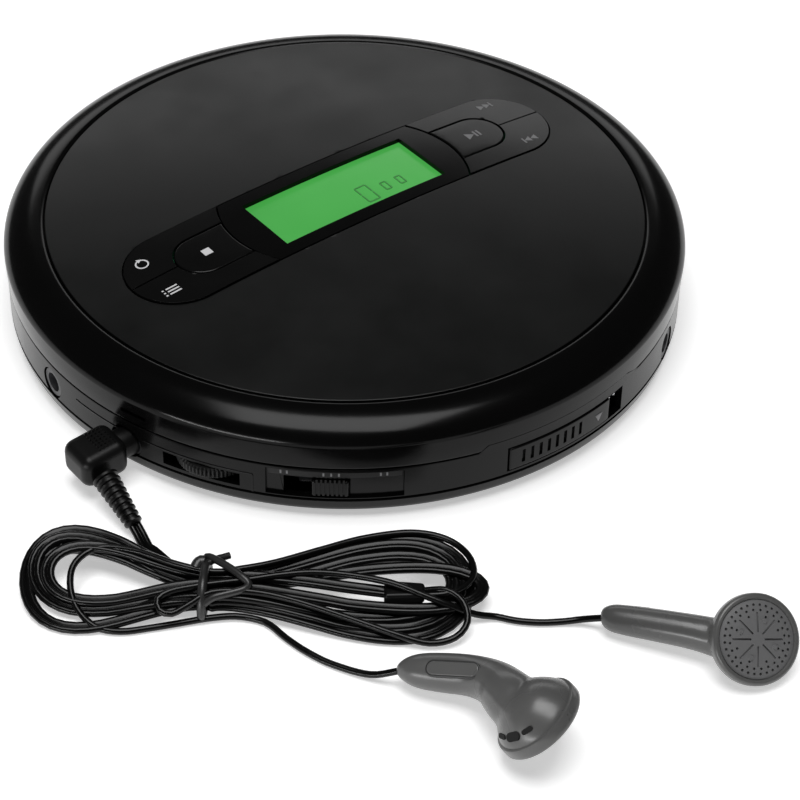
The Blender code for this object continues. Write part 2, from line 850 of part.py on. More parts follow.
def make_opener():
    """The slider on the front that frees the lid, with its catch and return spring."""
    slider = sector(
        "open_slider",
        CASE_INNER + 0.0003,
        BODY_RADIUS,
        OPENER_LOW,
        OPENER_HIGH,
        OPENER_START,
        OPENER_END,
        SATIN_BLACK,
    )
    carriage = sector(
        "join_carriage",
        CASE_INNER - 0.0021,
        CASE_INNER + 0.0006,
        OPENER_LOW + 0.0010,
        OPENER_HIGH - 0.0010,
        OPENER_START + 2.5,
        OPENER_END - 3.0,
    )
    join(slider, carriage)
    hook = sector(
        "join_hook",
        CASE_INNER - 0.0021,
        CASE_INNER - 0.0009,
        OPENER_HIGH - 0.0015,
        CASE_TOP + 0.0022,
        267.5,
        272.5,
    )
    join(slider, hook)
    carry(pivot("open_slider_axis", (0, 0, 0)), slider)
    first, last = OPENER_END - 3.0 + 0.5, OPENER_END + OPENER_TRAVEL + 0.6
    turns, radius, steps = 4, 0.0009, 8
    height = (OPENER_LOW + OPENER_HIGH) / 2
    coil = []
    for k in range(turns * steps + 1):
        angle = first + (last - first) * k / (turns * steps)
        around = math.tau * k / steps
        distance = CASE_INNER - 0.0012 + radius * math.cos(around)
        coil.append(on_circle(distance, angle, height + radius * math.sin(around)))
    tube("slider_spring", coil, 0.0002, STEEL)


# ---------------------------------------------------------------- boards and cells


def make_board():
    outline = arc((0, 0), BOARD_RADIUS, 0, 360, SEGMENTS)[:-1]
    board = prism("main_board", outline, BOARD_LOW, BOARD_LOW + BOARD_SKIN, BOARD_GREEN)
    trim = box("keep_board_side", (-0.08, -0.08, 0), (0.016, BAY_FRONT_Y - 0.0015, 0.02))
    keep(board, trim)


def make_cells():
    for number, y in enumerate((CELL_FRONT_Y, CELL_BACK_Y), 1):
        facing = 1 if number == 1 else -1
        body_end = facing * (CELL_LENGTH / 2 - 0.0012)
        cell = rod(
            f"aa_cell_{number}",
            (-facing * CELL_LENGTH / 2, y, CELL_HEIGHT),
            (body_end, y, CELL_HEIGHT),
            CELL_RADIUS,
            CELL_BLUE,
        )
        nub = rod(
            f"join_nub_{number}",
            (body_end - facing * 0.0005, y, CELL_HEIGHT),
            (facing * CELL_LENGTH / 2, y, CELL_HEIGHT),
            0.0026,
            segments=12,
        )
        join(cell, nub)
    wall_x = BAY_HALF_LENGTH - GAP
    box(
        "cell_contact",
        (wall_x - 0.0005, BAY_FRONT_Y + BAY_WALL + 0.002, CELL_HEIGHT - 0.005),
        (wall_x, BAY_BACK_Y - BAY_WALL - 0.002, CELL_HEIGHT + 0.005),
        STEEL,
        bevel=0.0001,
    )
    turns, steps = 4, 10
    first, last = -wall_x + 0.0004, -CELL_LENGTH / 2 - GAP - 0.0004
    coil = []
    for k in range(turns * steps + 1):
        share = k / (turns * steps)
        radius = 0.0042 - 0.0018 * share
        around = math.tau * k / steps
        x = first + (last - first) * share
        y, z = radius * math.cos(around), radius * math.sin(around)
        coil.append((x, CELL_FRONT_Y + y, CELL_HEIGHT + z))
    tube("cell_spring", coil, 0.0003, STEEL)


# ---------------------------------------------------------------- disc drive


def make_chassis():
    chassis = box(
        "drive_chassis",
        (-HUB_RADIUS, -CHASSIS_HALF_WIDTH, CHASSIS_LOW),
        (EAR_START + EAR_SKIN, CHASSIS_HALF_WIDTH, CHASSIS_HIGH),
        MATTE_BLACK,
    )
    motor_plate = box(
        "join_motor_plate",
        (SLED_START - 0.0030, FEED_MOTOR_Y - FEED_MOTOR_RADIUS, CHASSIS_LOW),
        (SLED_START + 0.0110, -CHASSIS_HALF_WIDTH + 0.001, CHASSIS_HIGH),
    )
    join(chassis, motor_plate)
    ears = ((SLED_START - 0.0020, "inner"), (EAR_START, "outer"))
    for x, name in ears:
        ear = box(
            f"join_{name}_ear",
            (x, -CHASSIS_HALF_WIDTH, RAIL_Z - 0.0025),
            (x + EAR_SKIN, CHASSIS_HALF_WIDTH, CHASSIS_LOW + 0.0003),
        )
        join(chassis, ear)
    slot = box(
        "cut_lens_slot",
        (LEAD_IN_RADIUS - LENS_HALF - 0.0010, -0.0060, CHASSIS_LOW - 0.0005),
        (LEAD_IN_RADIUS + SLED_TRAVEL + LENS_HALF + 0.0004, 0.0060, CHASSIS_HIGH + 0.001),
    )
    cut(chassis, slot)
    cut(chassis, rod("cut_spindle_hole", (0, 0, 0.010), (0, 0, 0.020), SPINDLE_RADIUS + 0.0011))
    for y in (-RAIL_Y, RAIL_Y):
        hole = rod(
            f"cut_rail_hole_{'rod' if y > 0 else 'screw'}",
            (0.010, y, RAIL_Z),
            (0.070, y, RAIL_Z),
            RAIL_RADIUS + GAP,
            segments=16,
        )
        cut(chassis, hole)


def make_spindle():
    top = CHASSIS_LOW - GAP
    motor = rod("spindle_motor", (0, 0, 0.0055), (0, 0, top), MOTOR_RADIUS, STEEL, segments=32)
    bore = rod("cut_motor_bore", (0, 0, 0.0100), (0, 0, 0.0150), SPINDLE_RADIUS + GAP, segments=16)
    cut(motor, bore)
    turned(
        "turntable",
        [
            (0, DISC_HEIGHT + 0.0014),
            (BOSS_RADIUS - 0.0009, DISC_HEIGHT + 0.0014),
            (BOSS_RADIUS, DISC_HEIGHT + 0.0007),
            (BOSS_RADIUS, DISC_HEIGHT),
            (HUB_RADIUS, DISC_HEIGHT),
            (HUB_RADIUS, DISC_HEIGHT - 0.0010),
            (BOSS_RADIUS, DISC_HEIGHT - 0.0014),
            (BOSS_RADIUS - 0.001, CHASSIS_HIGH + 2 * GAP),
            (SPINDLE_RADIUS, CHASSIS_HIGH + 2 * GAP),
            (SPINDLE_RADIUS, 0.0103),
            (0, 0.0103),
        ],
        WHITE_PLASTIC,
        segments=36,
    )


def make_sled():
    """The pickup on its two rails, with the lens holder above it."""
    low, high = RAIL_Z - 0.0020, CASE_TOP - LEDGE - 0.0004
    sled = box(
        "pickup_sled",
        (LEAD_IN_RADIUS - SLED_INNER, -RAIL_Y - 0.0020, low),
        (LEAD_IN_RADIUS + SLED_OUTER, RAIL_Y + 0.0023, high),
        DARK_GREY,
    )
    tower = box(
        "join_tower",
        (LEAD_IN_RADIUS - LENS_HALF, -0.0055, high - 0.001),
        (LEAD_IN_RADIUS + LENS_HALF, 0.0055, CHASSIS_HIGH + 0.0003),
    )
    join(sled, tower)
    for name, y, radius in (("rod", RAIL_Y, RAIL_RADIUS), ("screw", -RAIL_Y, RAIL_RADIUS)):
        bore = rod(
            f"cut_sled_{name}",
            (SLED_START - 0.01, y, RAIL_Z),
            (SLED_START + 0.03, y, RAIL_Z),
            radius + GAP,
            segments=16,
        )
        cut(sled, bore)
    sled_pivot = pivot("pickup_sled_axis", (LEAD_IN_RADIUS, 0, RAIL_Z))
    carry(sled_pivot, sled)
    base = CHASSIS_HIGH + 0.0003 + 0.0007
    holder = box(
        "lens_holder",
        (LEAD_IN_RADIUS - LENS_HALF, -LENS_HALF, base),
        (LEAD_IN_RADIUS + LENS_HALF, LENS_HALF, base + 0.0011),
        DARK_GREY,
        bevel=0.0003,
    )
    lens = turned(
        "join_lens",
        [
            (0, base + 0.0018),
            (0.0012, base + 0.0016),
            (0.0019, base + 0.0010),
            (0.0019, base + 0.0005),
            (0, base + 0.0005),
        ],
        segments=20,
    )
    lens.location = (LEAD_IN_RADIUS, 0, 0)
    join(holder, lens)
    carry(pivot("lens_holder_axis", (LEAD_IN_RADIUS, 0, base)), holder)


def make_feed():
    """Guide rod, lead screw with its gear, and the small motor that turns it."""
    rail_end = EAR_START + EAR_SKIN
    rod("guide_rod", (SLED_START - 0.0022, RAIL_Y, RAIL_Z), (rail_end, RAIL_Y, RAIL_Z), RAIL_RADIUS, STEEL)
    gear_start, gear_end = SLED_START - 0.0044, SLED_START - 0.0026
    screw = rod(
        "feed_screw",
        (gear_start, -RAIL_Y, RAIL_Z),
        (rail_end, -RAIL_Y, RAIL_Z),
        RAIL_RADIUS,
        STEEL,
    )
    gear = rod(
        "join_screw_gear",
        (gear_start, -RAIL_Y, RAIL_Z),
        (gear_end, -RAIL_Y, RAIL_Z),
        GEAR_RADIUS,
        segments=32,
    )
    join(screw, gear)
    motor_start = SLED_START - 0.0018
    motor = rod(
        "feed_motor",
        (motor_start, FEED_MOTOR_Y, FEED_MOTOR_Z),
        (motor_start + 0.0120, FEED_MOTOR_Y, FEED_MOTOR_Z),
        FEED_MOTOR_RADIUS,
        STEEL,
        segments=28,
    )
    bore = rod(
        "cut_feed_motor_bore",
        (motor_start - 0.001, FEED_MOTOR_Y, FEED_MOTOR_Z),
        (motor_start + 0.003, FEED_MOTOR_Y, FEED_MOTOR_Z),
        0.0005 + GAP,
        segments=12,
    )
    cut(motor, bore)
    pinion = rod(
        "feed_pinion",
        (gear_start, FEED_MOTOR_Y, FEED_MOTOR_Z),
        (gear_end, FEED_MOTOR_Y, FEED_MOTOR_Z),
        PINION_RADIUS,
        BRASS,
    )
    shaft = rod(
        "join_feed_shaft",
        (gear_start + 0.0005, FEED_MOTOR_Y, FEED_MOTOR_Z),
        (motor_start + 0.0020, FEED_MOTOR_Y, FEED_MOTOR_Z),
        0.0005,
        segments=12,
    )
    join(pinion, shaft)


# ---------------------------------------------------------------- lid


def shoulder_line(steps=6):
    """(radius, height) points over the shiny rim, from the groove out to the widest part."""
    inner, top = PANEL_RADIUS + 0.0004, PANEL_EDGE_HEIGHT
    found = []
    for k in range(steps + 1):
        turn = math.pi / 2 * k / steps
        across, down = math.sin(turn) ** (2 / SHOULDER_POWER), math.cos(turn) ** (2 / SHOULDER_POWER)
        radius = inner + (BODY_RADIUS - inner) * across
        found.append((radius, SHOULDER_HEIGHT + (top - SHOULDER_HEIGHT) * down))
    return found


def make_lid_rim():
    """The shiny ring and side band of the lid, with the hinge knuckle and the striker."""
    ledge_top = dome(PANEL_RADIUS) - LID_SKIN - GAP
    rim = turned(
        "lid_rim",
        [
            (LID_LEDGE_RADIUS, ledge_top),
            (PANEL_RADIUS, ledge_top),
            (PANEL_RADIUS, PANEL_EDGE_HEIGHT - 0.0003),
            *shoulder_line(),
            (CASE_RADIUS, LID_BOTTOM),
            (LID_INNER, LID_BOTTOM),
            (LID_INNER, SHOULDER_HEIGHT - 0.0002),
            (LID_INNER - 0.0018, SHOULDER_HEIGHT + 0.0018),
            (LID_INNER - 0.0055, ledge_top - 0.0007),
            (LID_LEDGE_RADIUS, ledge_top - 0.0006),
        ],
        GLOSS_BLACK,
    )
    knuckle = rod(
        "join_lid_knuckle",
        (-LID_KNUCKLE_HALF, HINGE_Y, HINGE_Z),
        (LID_KNUCKLE_HALF, HINGE_Y, HINGE_Z),
        KNUCKLE_RADIUS,
    )
    join(rim, knuckle)
    striker = sector(
        "join_striker",
        CASE_INNER - 0.0018,
        LID_INNER + 0.0004,
        CASE_TOP + 0.0027,
        CASE_TOP + 0.0039,
        266.0,
        274.0,
    )
    join(rim, striker)
    cut(rim, front_step("cut_lid_step", GAP))
    for side in (-1, 1):
        pocket = rod(
            f"cut_lid_pocket_{side}",
            (side * (LID_KNUCKLE_HALF + GAP), HINGE_Y, HINGE_Z),
            (side * (CASE_KNUCKLE_OUTER + GAP), HINGE_Y, HINGE_Z),
            KNUCKLE_RADIUS + GAP,
        )
        cut(rim, pocket)
        below = box(
            f"cut_lid_back_{side}",
            (min(side * (LID_KNUCKLE_HALF + GAP), side * (CASE_KNUCKLE_OUTER + GAP)), 0.060, 0.010),
            (max(side * (LID_KNUCKLE_HALF + GAP), side * (CASE_KNUCKLE_OUTER + GAP)), 0.072, HINGE_Z),
        )
        cut(rim, below)
    cut(rim, hinge_pin_hole("cut_lid_pin_hole"))
    return rim


def make_hinge_hardware():
    reach = CASE_KNUCKLE_OUTER - 0.0006
    pin_ends = (-reach, HINGE_Y, HINGE_Z), (reach, HINGE_Y, HINGE_Z)
    rod("hinge_pin", *pin_ends, HINGE_PIN_RADIUS, STEEL, segments=16)
    turns, steps, wire = 3, 10, 0.0002
    first, last = LID_KNUCKLE_HALF + GAP + wire, CASE_KNUCKLE_INNER - GAP - wire
    coil = []
    for k in range(turns * steps + 1):
        around = math.tau * k / steps
        x = first + (last - first) * k / (turns * steps)
        y, z = 0.0015 * math.cos(around), 0.0015 * math.sin(around)
        coil.append((x, HINGE_Y + y, HINGE_Z + z))
    tube("hinge_spring", coil, wire, STEEL)


def stadium(half_length, half_width, steps=8):
    """A long outline with round ends, about the pod's centre."""
    straight = half_length - half_width
    x, y = POD_CENTRE
    right = arc((x + straight, y), half_width, -90, 90, steps)
    left = arc((x - straight, y), half_width, 90, 270, steps)
    return right + left


def window_outline(gap):
    """The display's outline: flat above and below, bulging at both ends."""
    half = POD_HALF_WIDTH - KEY_GAP + gap
    centre = WINDOW_BULGE - WINDOW_ARC_RADIUS
    radius = WINDOW_ARC_RADIUS + gap
    reach = math.degrees(math.asin(half / radius))
    x, y = POD_CENTRE
    right = arc((x + centre, y), radius, -reach, reach, 6)
    left = arc((x - centre, y), radius, 180 - reach, 180 + reach, 6)
    return right + left


def make_pod():
    """Display, keys and their board, set in the pod on the lid."""
    x, y = POD_CENTRE
    key_low = KEY_BOARD_LOW + KEY_BOARD_SKIN + GAP + KEY_TRAVEL
    guide = [*dome_line(PANEL_RADIUS + 0.003, KEY_PROUD), (PANEL_RADIUS + 0.003, 0.010), (0, 0.010)]
    key_top = turned("keep_under_key_top", guide)
    guide = [*dome_line(PANEL_RADIUS + 0.003), (PANEL_RADIUS + 0.003, 0.010), (0, 0.010)]
    panel_top = turned("keep_under_panel_top", guide)
    above = LID_CROWN + 0.005

    board = box(
        "key_board",
        (x - KEY_HALF_LENGTH - 0.007, y - 0.0085, KEY_BOARD_LOW),
        (x + KEY_HALF_LENGTH + 0.007, y + 0.0085, KEY_BOARD_LOW + KEY_BOARD_SKIN),
        BOARD_GREEN,
    )
    lcd_low = KEY_BOARD_LOW + KEY_BOARD_SKIN + GAP
    lcd = box(
        "lcd_module",
        (x - LCD_HALF_SIZE[0], y - LCD_HALF_SIZE[1], lcd_low),
        (x + LCD_HALF_SIZE[0], y + LCD_HALF_SIZE[1], lcd_low + LCD_HEIGHT),
        LCD_GREEN,
    )
    window = prism("display_window", window_outline(0), lcd_low + LCD_HEIGHT + GAP, above, GLOSS_BLACK)
    keep(window, panel_top)

    window_gap = prism("cut_window_gap", window_outline(KEY_GAP), 0.015, above + 0.002)
    ring_outline = stadium(POD_HALF_LENGTH - KEY_GAP, POD_HALF_WIDTH - KEY_GAP)
    inner_outline = stadium(KEY_HALF_LENGTH, KEY_HALF_WIDTH)
    inner_gap = prism(
        "cut_inner_key_gap",
        stadium(KEY_HALF_LENGTH + KEY_GAP, KEY_HALF_WIDTH + KEY_GAP),
        0.015,
        above + 0.002,
    )
    keys = []
    for side, name in ((-1, "stop_key"), (1, "play_pause_key")):
        key = prism(name, inner_outline, key_low, above, SATIN_BLACK)
        near, far = sorted((x + side * 0.015, x + side * 0.06))
        keep(key, box(f"keep_{name}_side", (near, y - 0.02, 0.01), (far, y + 0.02, 0.04)))
        cut(key, window_gap)
        keep(key, key_top)
        keys.append(key)
    quarters = (
        (-1, 1, "play_mode_key"),
        (-1, -1, "preset_key"),
        (1, 1, "next_key"),
        (1, -1, "previous_key"),
    )
    for side, up, name in quarters:
        key = prism(name, ring_outline, key_low, above, SATIN_BLACK)
        near, far = sorted((x + side * 0.015, x + side * 0.06))
        below, over = sorted((y + up * KEY_GAP / 2, y + up * 0.02))
        keep(key, box(f"keep_{name}_quarter", (near, below, 0.01), (far, over, 0.04)))
        cut(key, inner_gap)
        cut(key, window_gap)
        keep(key, key_top)
        keys.append(key)
    return [board, lcd, window, *keys]


def make_lid():
    rim = make_lid_rim()
    edge = PANEL_RADIUS - GAP
    underside = [(radius, height - LID_SKIN) for radius, height in reversed(dome_line(edge))]
    panel = turned("lid_panel", [*dome_line(edge), *underside], MATTE_BLACK)
    opening = prism("cut_pod", stadium(POD_HALF_LENGTH, POD_HALF_WIDTH), 0.015, LID_CROWN + 0.01)
    cut(panel, opening)
    cover = turned(
        "lid_inner_cover",
        [
            (0, COVER_LOW + COVER_SKIN),
            (COVER_RADIUS, COVER_LOW + COVER_SKIN),
            (COVER_RADIUS, COVER_LOW),
            (0, COVER_LOW),
        ],
        MATTE_BLACK,
    )
    pod = make_pod()
    carry(pivot("lid_axis", (0, HINGE_Y, HINGE_Z)), rim, panel, cover, *pod)


# ---------------------------------------------------------------- earphones


def make_plug():
    """The right-angled plug, its metal tip and the ribbed strain relief."""
    socket = nose_end(PHONES_LINE, PHONES_RADIUS)
    inner = CASE_RADIUS - 0.0009
    block = along_box(
        "plug_body",
        PHONES_LINE,
        (inner, inner + PLUG_LENGTH),
        PLUG_WIDTH / 2,
        (PHONES_Z - PLUG_HEIGHT / 2, PHONES_Z + PLUG_HEIGHT / 2),
        CORD_BLACK,
        bevel=0.0022,
    )
    collar = rod(
        "join_plug_collar",
        along(PHONES_LINE, socket + GAP, PHONES_Z),
        along(PHONES_LINE, inner + 0.001, PHONES_Z),
        0.0030,
    )
    join(block, collar)
    rod(
        "plug_tip",
        along(PHONES_LINE, socket - TIP_LENGTH, PHONES_Z),
        along(PHONES_LINE, socket, PHONES_Z),
        TIP_RADIUS,
        STEEL,
        segments=16,
    )
    rod(
        "strain_relief",
        RELIEF_START,
        RELIEF_END,
        RELIEF_THICK,
        CORD_BLACK,
        segments=16,
        end_radius=RELIEF_THIN,
    )


def hank_point(along, across):
    """A point of the hank's own length and width, on the table."""
    turn = math.radians(HANK_ANGLE)
    x = HANK_CENTRE[0] + along * math.cos(turn) - across * math.sin(turn)
    y = HANK_CENTRE[1] + along * math.sin(turn) + across * math.cos(turn)
    return x, y


def hank_outline():
    """The outline of the tied hank: two round lobes and a narrow waist."""
    left = (-HANK_HALF_LENGTH + HANK_LEFT_HALF, HANK_LEFT_SHIFT)
    right = (HANK_HALF_LENGTH - HANK_RIGHT_HALF, HANK_RIGHT_SHIFT)
    lobe_right = arc(right, HANK_RIGHT_HALF, -105, 105, 10)
    lobe_left = arc(left, HANK_LEFT_HALF, 75, 285, 10)
    top = [(WAIST_ALONG + 0.003, WAIST_SHIFT + WAIST_HALF), (WAIST_ALONG - 0.003, WAIST_SHIFT + WAIST_HALF)]
    bottom = [(WAIST_ALONG - 0.003, WAIST_SHIFT - WAIST_HALF), (WAIST_ALONG + 0.003, WAIST_SHIFT - WAIST_HALF)]
    return [hank_point(*p) for p in (*lobe_right, *top, *lobe_left, *bottom)]


def make_hank():
    prism("cord_hank", hank_outline(), HANK_LOW, HANK_HIGH, CORD_BLACK)
    x, y = hank_point(WAIST_ALONG, WAIST_SHIFT)
    inner, outer = WAIST_HALF + GAP, WAIST_HALF + GAP + TIE_SKIN
    tie = box(
        "twist_tie",
        (-TIE_WIDTH / 2, -outer, HANK_LOW - GAP - TIE_SKIN),
        (TIE_WIDTH / 2, outer, HANK_HIGH + GAP + TIE_SKIN),
        CORD_BLACK,
    )
    hole = box(
        "cut_tie",
        (-TIE_WIDTH, -inner, HANK_LOW - GAP),
        (TIE_WIDTH, inner, HANK_HIGH + GAP),
    )
    for piece in (tie, hole):
        piece.location.x, piece.location.y = x, y
        piece.rotation_euler.z = math.radians(HANK_ANGLE)
    cut(tie, hole)


def make_splitter():
    """The small block where the lead divides, in a pocket on top of the hank."""
    box("cord_splitter", SPLITTER_LOW, SPLITTER_HIGH, CORD_BLACK, bevel=0.0004)
    room = Vector((GAP, GAP, GAP))
    low, high = Vector(SPLITTER_LOW) - room, Vector(SPLITTER_HIGH) + 3 * room
    cut(bpy.data.objects["cord_hank"], box("cut_splitter_pocket", low, high))


def make_earbud(name, stem_start, stem_end, head, facing, look):
    """A housing with its stem, and the perforated plate in front."""
    facing = Vector(facing).normalized()
    head = Vector(head)
    stem = rod(f"{name}_earbud", stem_start, stem_end, STEM_THIN, look, 16, STEM_THICK)
    neck = rod(f"join_{name}_neck", stem_end, head - facing * BUD_DEPTH * 0.45, STEM_THICK, None, 16)
    join(stem, neck)
    profile = [
        (0, 0),
        (BUD_RADIUS - 0.0004, 0),
        (BUD_RADIUS, -0.0006),
        (BUD_RADIUS, -0.0016),
        (BUD_RADIUS * 0.90, -0.0026),
        (BUD_RADIUS * 0.70, -0.0048),
        (BUD_RADIUS * 0.40, -BUD_DEPTH * 0.93),
        (0, -BUD_DEPTH),
    ]
    shell = turned(f"join_{name}_shell", profile, segments=28)
    shell.rotation_euler = facing.to_track_quat("Z", "Y").to_euler()
    shell.location = head
    join(stem, shell)
    plate_low = head + facing * GAP
    rod(f"{name}_grille", plate_low, plate_low + facing * GRILLE_SKIN, BUD_RADIUS * 0.86, STEEL, 28)


def make_earphones():
    make_plug()
    make_hank()
    make_splitter()
    step = 0.0026
    tube("plug_lead", smooth_path(PLUG_LEAD, step), TWIN_RADIUS, CORD_BLACK)
    tube("left_lead", smooth_path(LEFT_LEAD, step), LEAD_RADIUS, CORD_BLACK)
    tube("right_lead", smooth_path(RIGHT_LEAD, step), LEAD_RADIUS, CORD_BLACK)
    make_earbud(
        "left",
        (-0.0620, -0.0934, 0.0032),
        (-0.0508, -0.1070, 0.0050),
        (-0.0502, -0.1215, 0.0073),
        (0.40, -0.55, -0.73),
        DARK_GREY,
    )
    make_earbud(
        "right",
        (-0.0230, -0.1058, 0.0032),
        (-0.0125, -0.1215, 0.0052),
        (-0.0078, -0.1300, 0.0076),
        (-0.20, -0.62, 0.66),
        DARK_GREY,
    )


def main():
    make_base()
    make_battery_door()
    make_feet_and_screws()
    make_upper_case()
    make_sockets()
    make_volume_control()
    make_slide_switch()
    make_opener()
    make_board()
    make_cells()
    make_chassis()
    make_spindle()
    make_sled()
    make_feed()
    make_lid()
    make_hinge_hardware()
    make_earphones()


main()
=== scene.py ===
"""Looks of a round portable disc player and its earphones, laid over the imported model."""

from __future__ import annotations

import json
import logging
import math
from collections.abc import Callable, Iterable, Sequence
from dataclasses import dataclass
from enum import Enum

import bpy
from mathutils import Matrix, Vector

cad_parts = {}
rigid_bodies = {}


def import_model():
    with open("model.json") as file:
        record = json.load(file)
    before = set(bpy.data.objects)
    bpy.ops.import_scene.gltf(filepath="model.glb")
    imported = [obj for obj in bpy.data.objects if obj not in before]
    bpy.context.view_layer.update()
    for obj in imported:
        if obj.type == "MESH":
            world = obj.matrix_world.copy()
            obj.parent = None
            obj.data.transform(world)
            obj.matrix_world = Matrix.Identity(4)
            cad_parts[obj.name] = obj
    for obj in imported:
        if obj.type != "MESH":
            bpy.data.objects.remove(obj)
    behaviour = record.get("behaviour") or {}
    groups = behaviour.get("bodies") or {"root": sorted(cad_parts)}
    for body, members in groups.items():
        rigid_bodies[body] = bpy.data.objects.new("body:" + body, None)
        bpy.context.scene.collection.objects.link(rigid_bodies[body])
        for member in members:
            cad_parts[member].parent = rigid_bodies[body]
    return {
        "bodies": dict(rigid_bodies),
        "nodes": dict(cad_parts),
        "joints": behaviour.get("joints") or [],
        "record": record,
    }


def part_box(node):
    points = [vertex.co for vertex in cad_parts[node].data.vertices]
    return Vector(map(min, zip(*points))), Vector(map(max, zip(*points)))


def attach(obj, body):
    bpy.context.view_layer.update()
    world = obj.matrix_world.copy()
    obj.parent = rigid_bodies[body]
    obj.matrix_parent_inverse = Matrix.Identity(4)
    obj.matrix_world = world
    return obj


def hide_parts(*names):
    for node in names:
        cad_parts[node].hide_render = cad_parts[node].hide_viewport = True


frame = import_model()

LOG = logging.getLogger("disc_player")
MM = 0.001

Ring = tuple[float, float]
Point = tuple[float, float, float]


# ------------------------------------------------------------------ bench work


def deselect() -> None:
    """Leaves edit mode and deselects everything."""
    if bpy.context.object and bpy.context.object.mode != "OBJECT":
        bpy.ops.object.mode_set(mode="OBJECT")
    bpy.ops.object.select_all(action="DESELECT")


def activate(obj: bpy.types.Object) -> None:
    """Makes one object the only selected and active one."""
    deselect()
    obj.select_set(True)
    bpy.context.view_layer.objects.active = obj


def settle(obj: bpy.types.Object) -> bpy.types.Object:
    """Writes an object's place into its mesh, so that the object sits at the origin."""
    activate(obj)
    bpy.ops.object.transform_apply(location=True, rotation=True, scale=True)
    return obj


def named(name: str) -> bpy.types.Object:
    """Names and settles the primitive just added."""
    obj = bpy.context.object
    obj.name = name
    obj.data.name = name
    return settle(obj)


def pick(obj: bpy.types.Object, test: Callable[[Vector], bool]) -> None:
    """Enters edit mode with the vertices selected that pass a test on their place."""
    activate(obj)
    bpy.ops.object.mode_set(mode="EDIT")
    bpy.ops.mesh.select_mode(type="VERT")
    bpy.ops.mesh.select_all(action="DESELECT")
    bpy.ops.object.mode_set(mode="OBJECT")
    for vertex in obj.data.vertices:
        vertex.select = test(vertex.co)
    bpy.ops.object.mode_set(mode="EDIT")


def shift(obj: bpy.types.Object, test: Callable[[Vector], bool], by: Point) -> bpy.types.Object:
    """Moves the vertices that pass a test."""
    pick(obj, test)
    bpy.ops.transform.translate(value=by)
    bpy.ops.object.mode_set(mode="OBJECT")
    return obj


def block(name: str, low: Sequence[float], high: Sequence[float], turn: float = 0.0) -> bpy.types.Object:
    """Adds a box.

    Args:
        name: The object's name.
        low: Lowest corner before it is turned.
        high: Highest corner before it is turned.
        turn: Angle in degrees about Z through the origin.

    Returns:
        The settled box.
    """
    deselect()
    low, high = Vector(low), Vector(high)
    middle = Matrix.Rotation(math.radians(turn), 3, "Z") @ ((low + high) / 2)
    bpy.ops.mesh.primitive_cube_add(
        size=1, location=middle, rotation=(0, 0, math.radians(turn)), scale=high - low
    )
    return named(name)


def rod(
    name: str,
    start: Sequence[float],
    end: Sequence[float],
    radius: float,
    end_radius: float | None = None,
    sides: int = 32,
) -> bpy.types.Object:
    """Adds a cylinder or cone from one point to another.

    Args:
        name: The object's name.
        start: Centre of the first end.
        end: Centre of the other end.
        radius: Radius at the first end.
        end_radius: Radius at the other end, where it differs.
        sides: Facets round it.

    Returns:
        The settled rod.
    """
    deselect()
    start, end = Vector(start), Vector(end)
    bpy.ops.mesh.primitive_cone_add(
        vertices=sides,
        radius1=radius,
        radius2=radius if end_radius is None else end_radius,
        depth=(end - start).length,
        location=(start + end) / 2,
        rotation=(end - start).to_track_quat("Z", "Y").to_euler(),
    )
    return named(name)


def lathe(name: str, rings: Sequence[Ring], sides: int = 128, loop: bool = False) -> bpy.types.Object:
    """Turns a profile about Z by extruding one circle from ring to ring.

    Args:
        name: The object's name.
        rings: (radius, height) of each ring; a radius of 0 is a point on the axis, at an end only.
        sides: Facets round it.
        loop: True where the last ring joins the first.

    Returns:
        The closed, settled body.
    """
    deselect()
    tipped = rings[0][0] == 0
    radius, height = rings[1] if tipped else rings[0]
    fill = "TRIFAN" if tipped else "NOTHING"
    bpy.ops.mesh.primitive_circle_add(vertices=sides, radius=radius, location=(0, 0, height), fill_type=fill)
    obj = named(name)
    if tipped and rings[0][1] != height:
        shift(obj, lambda co: co.xy.length < radius / 2, (0, 0, rings[0][1] - height))
    activate(obj)
    bpy.ops.object.mode_set(mode="EDIT")
    bpy.ops.mesh.select_mode(type="EDGE")
    bpy.ops.mesh.select_all(action="DESELECT")
    bpy.ops.mesh.select_non_manifold(extend=False)
    for next_radius, next_height in rings[2 if tipped else 1 :]:
        bpy.ops.mesh.extrude_region_move(TRANSFORM_OT_translate={"value": (0, 0, next_height - height)})
        if next_radius == 0:
            bpy.ops.mesh.merge(type="CENTER")
            break
        scale = next_radius / radius
        bpy.ops.transform.resize(value=(scale, scale, 1), center_override=(0, 0, next_height))
        radius, height = next_radius, next_height
    if loop:
        bpy.ops.mesh.select_all(action="DESELECT")
        bpy.ops.mesh.select_non_manifold(extend=False)
        bpy.ops.mesh.bridge_edge_loops()
    elif rings[-1][0] != 0:
        bpy.ops.mesh.edge_face_add()
    bpy.ops.mesh.select_all(action="SELECT")
    bpy.ops.mesh.normals_make_consistent(inside=False)
    bpy.ops.object.mode_set(mode="OBJECT")
    return obj


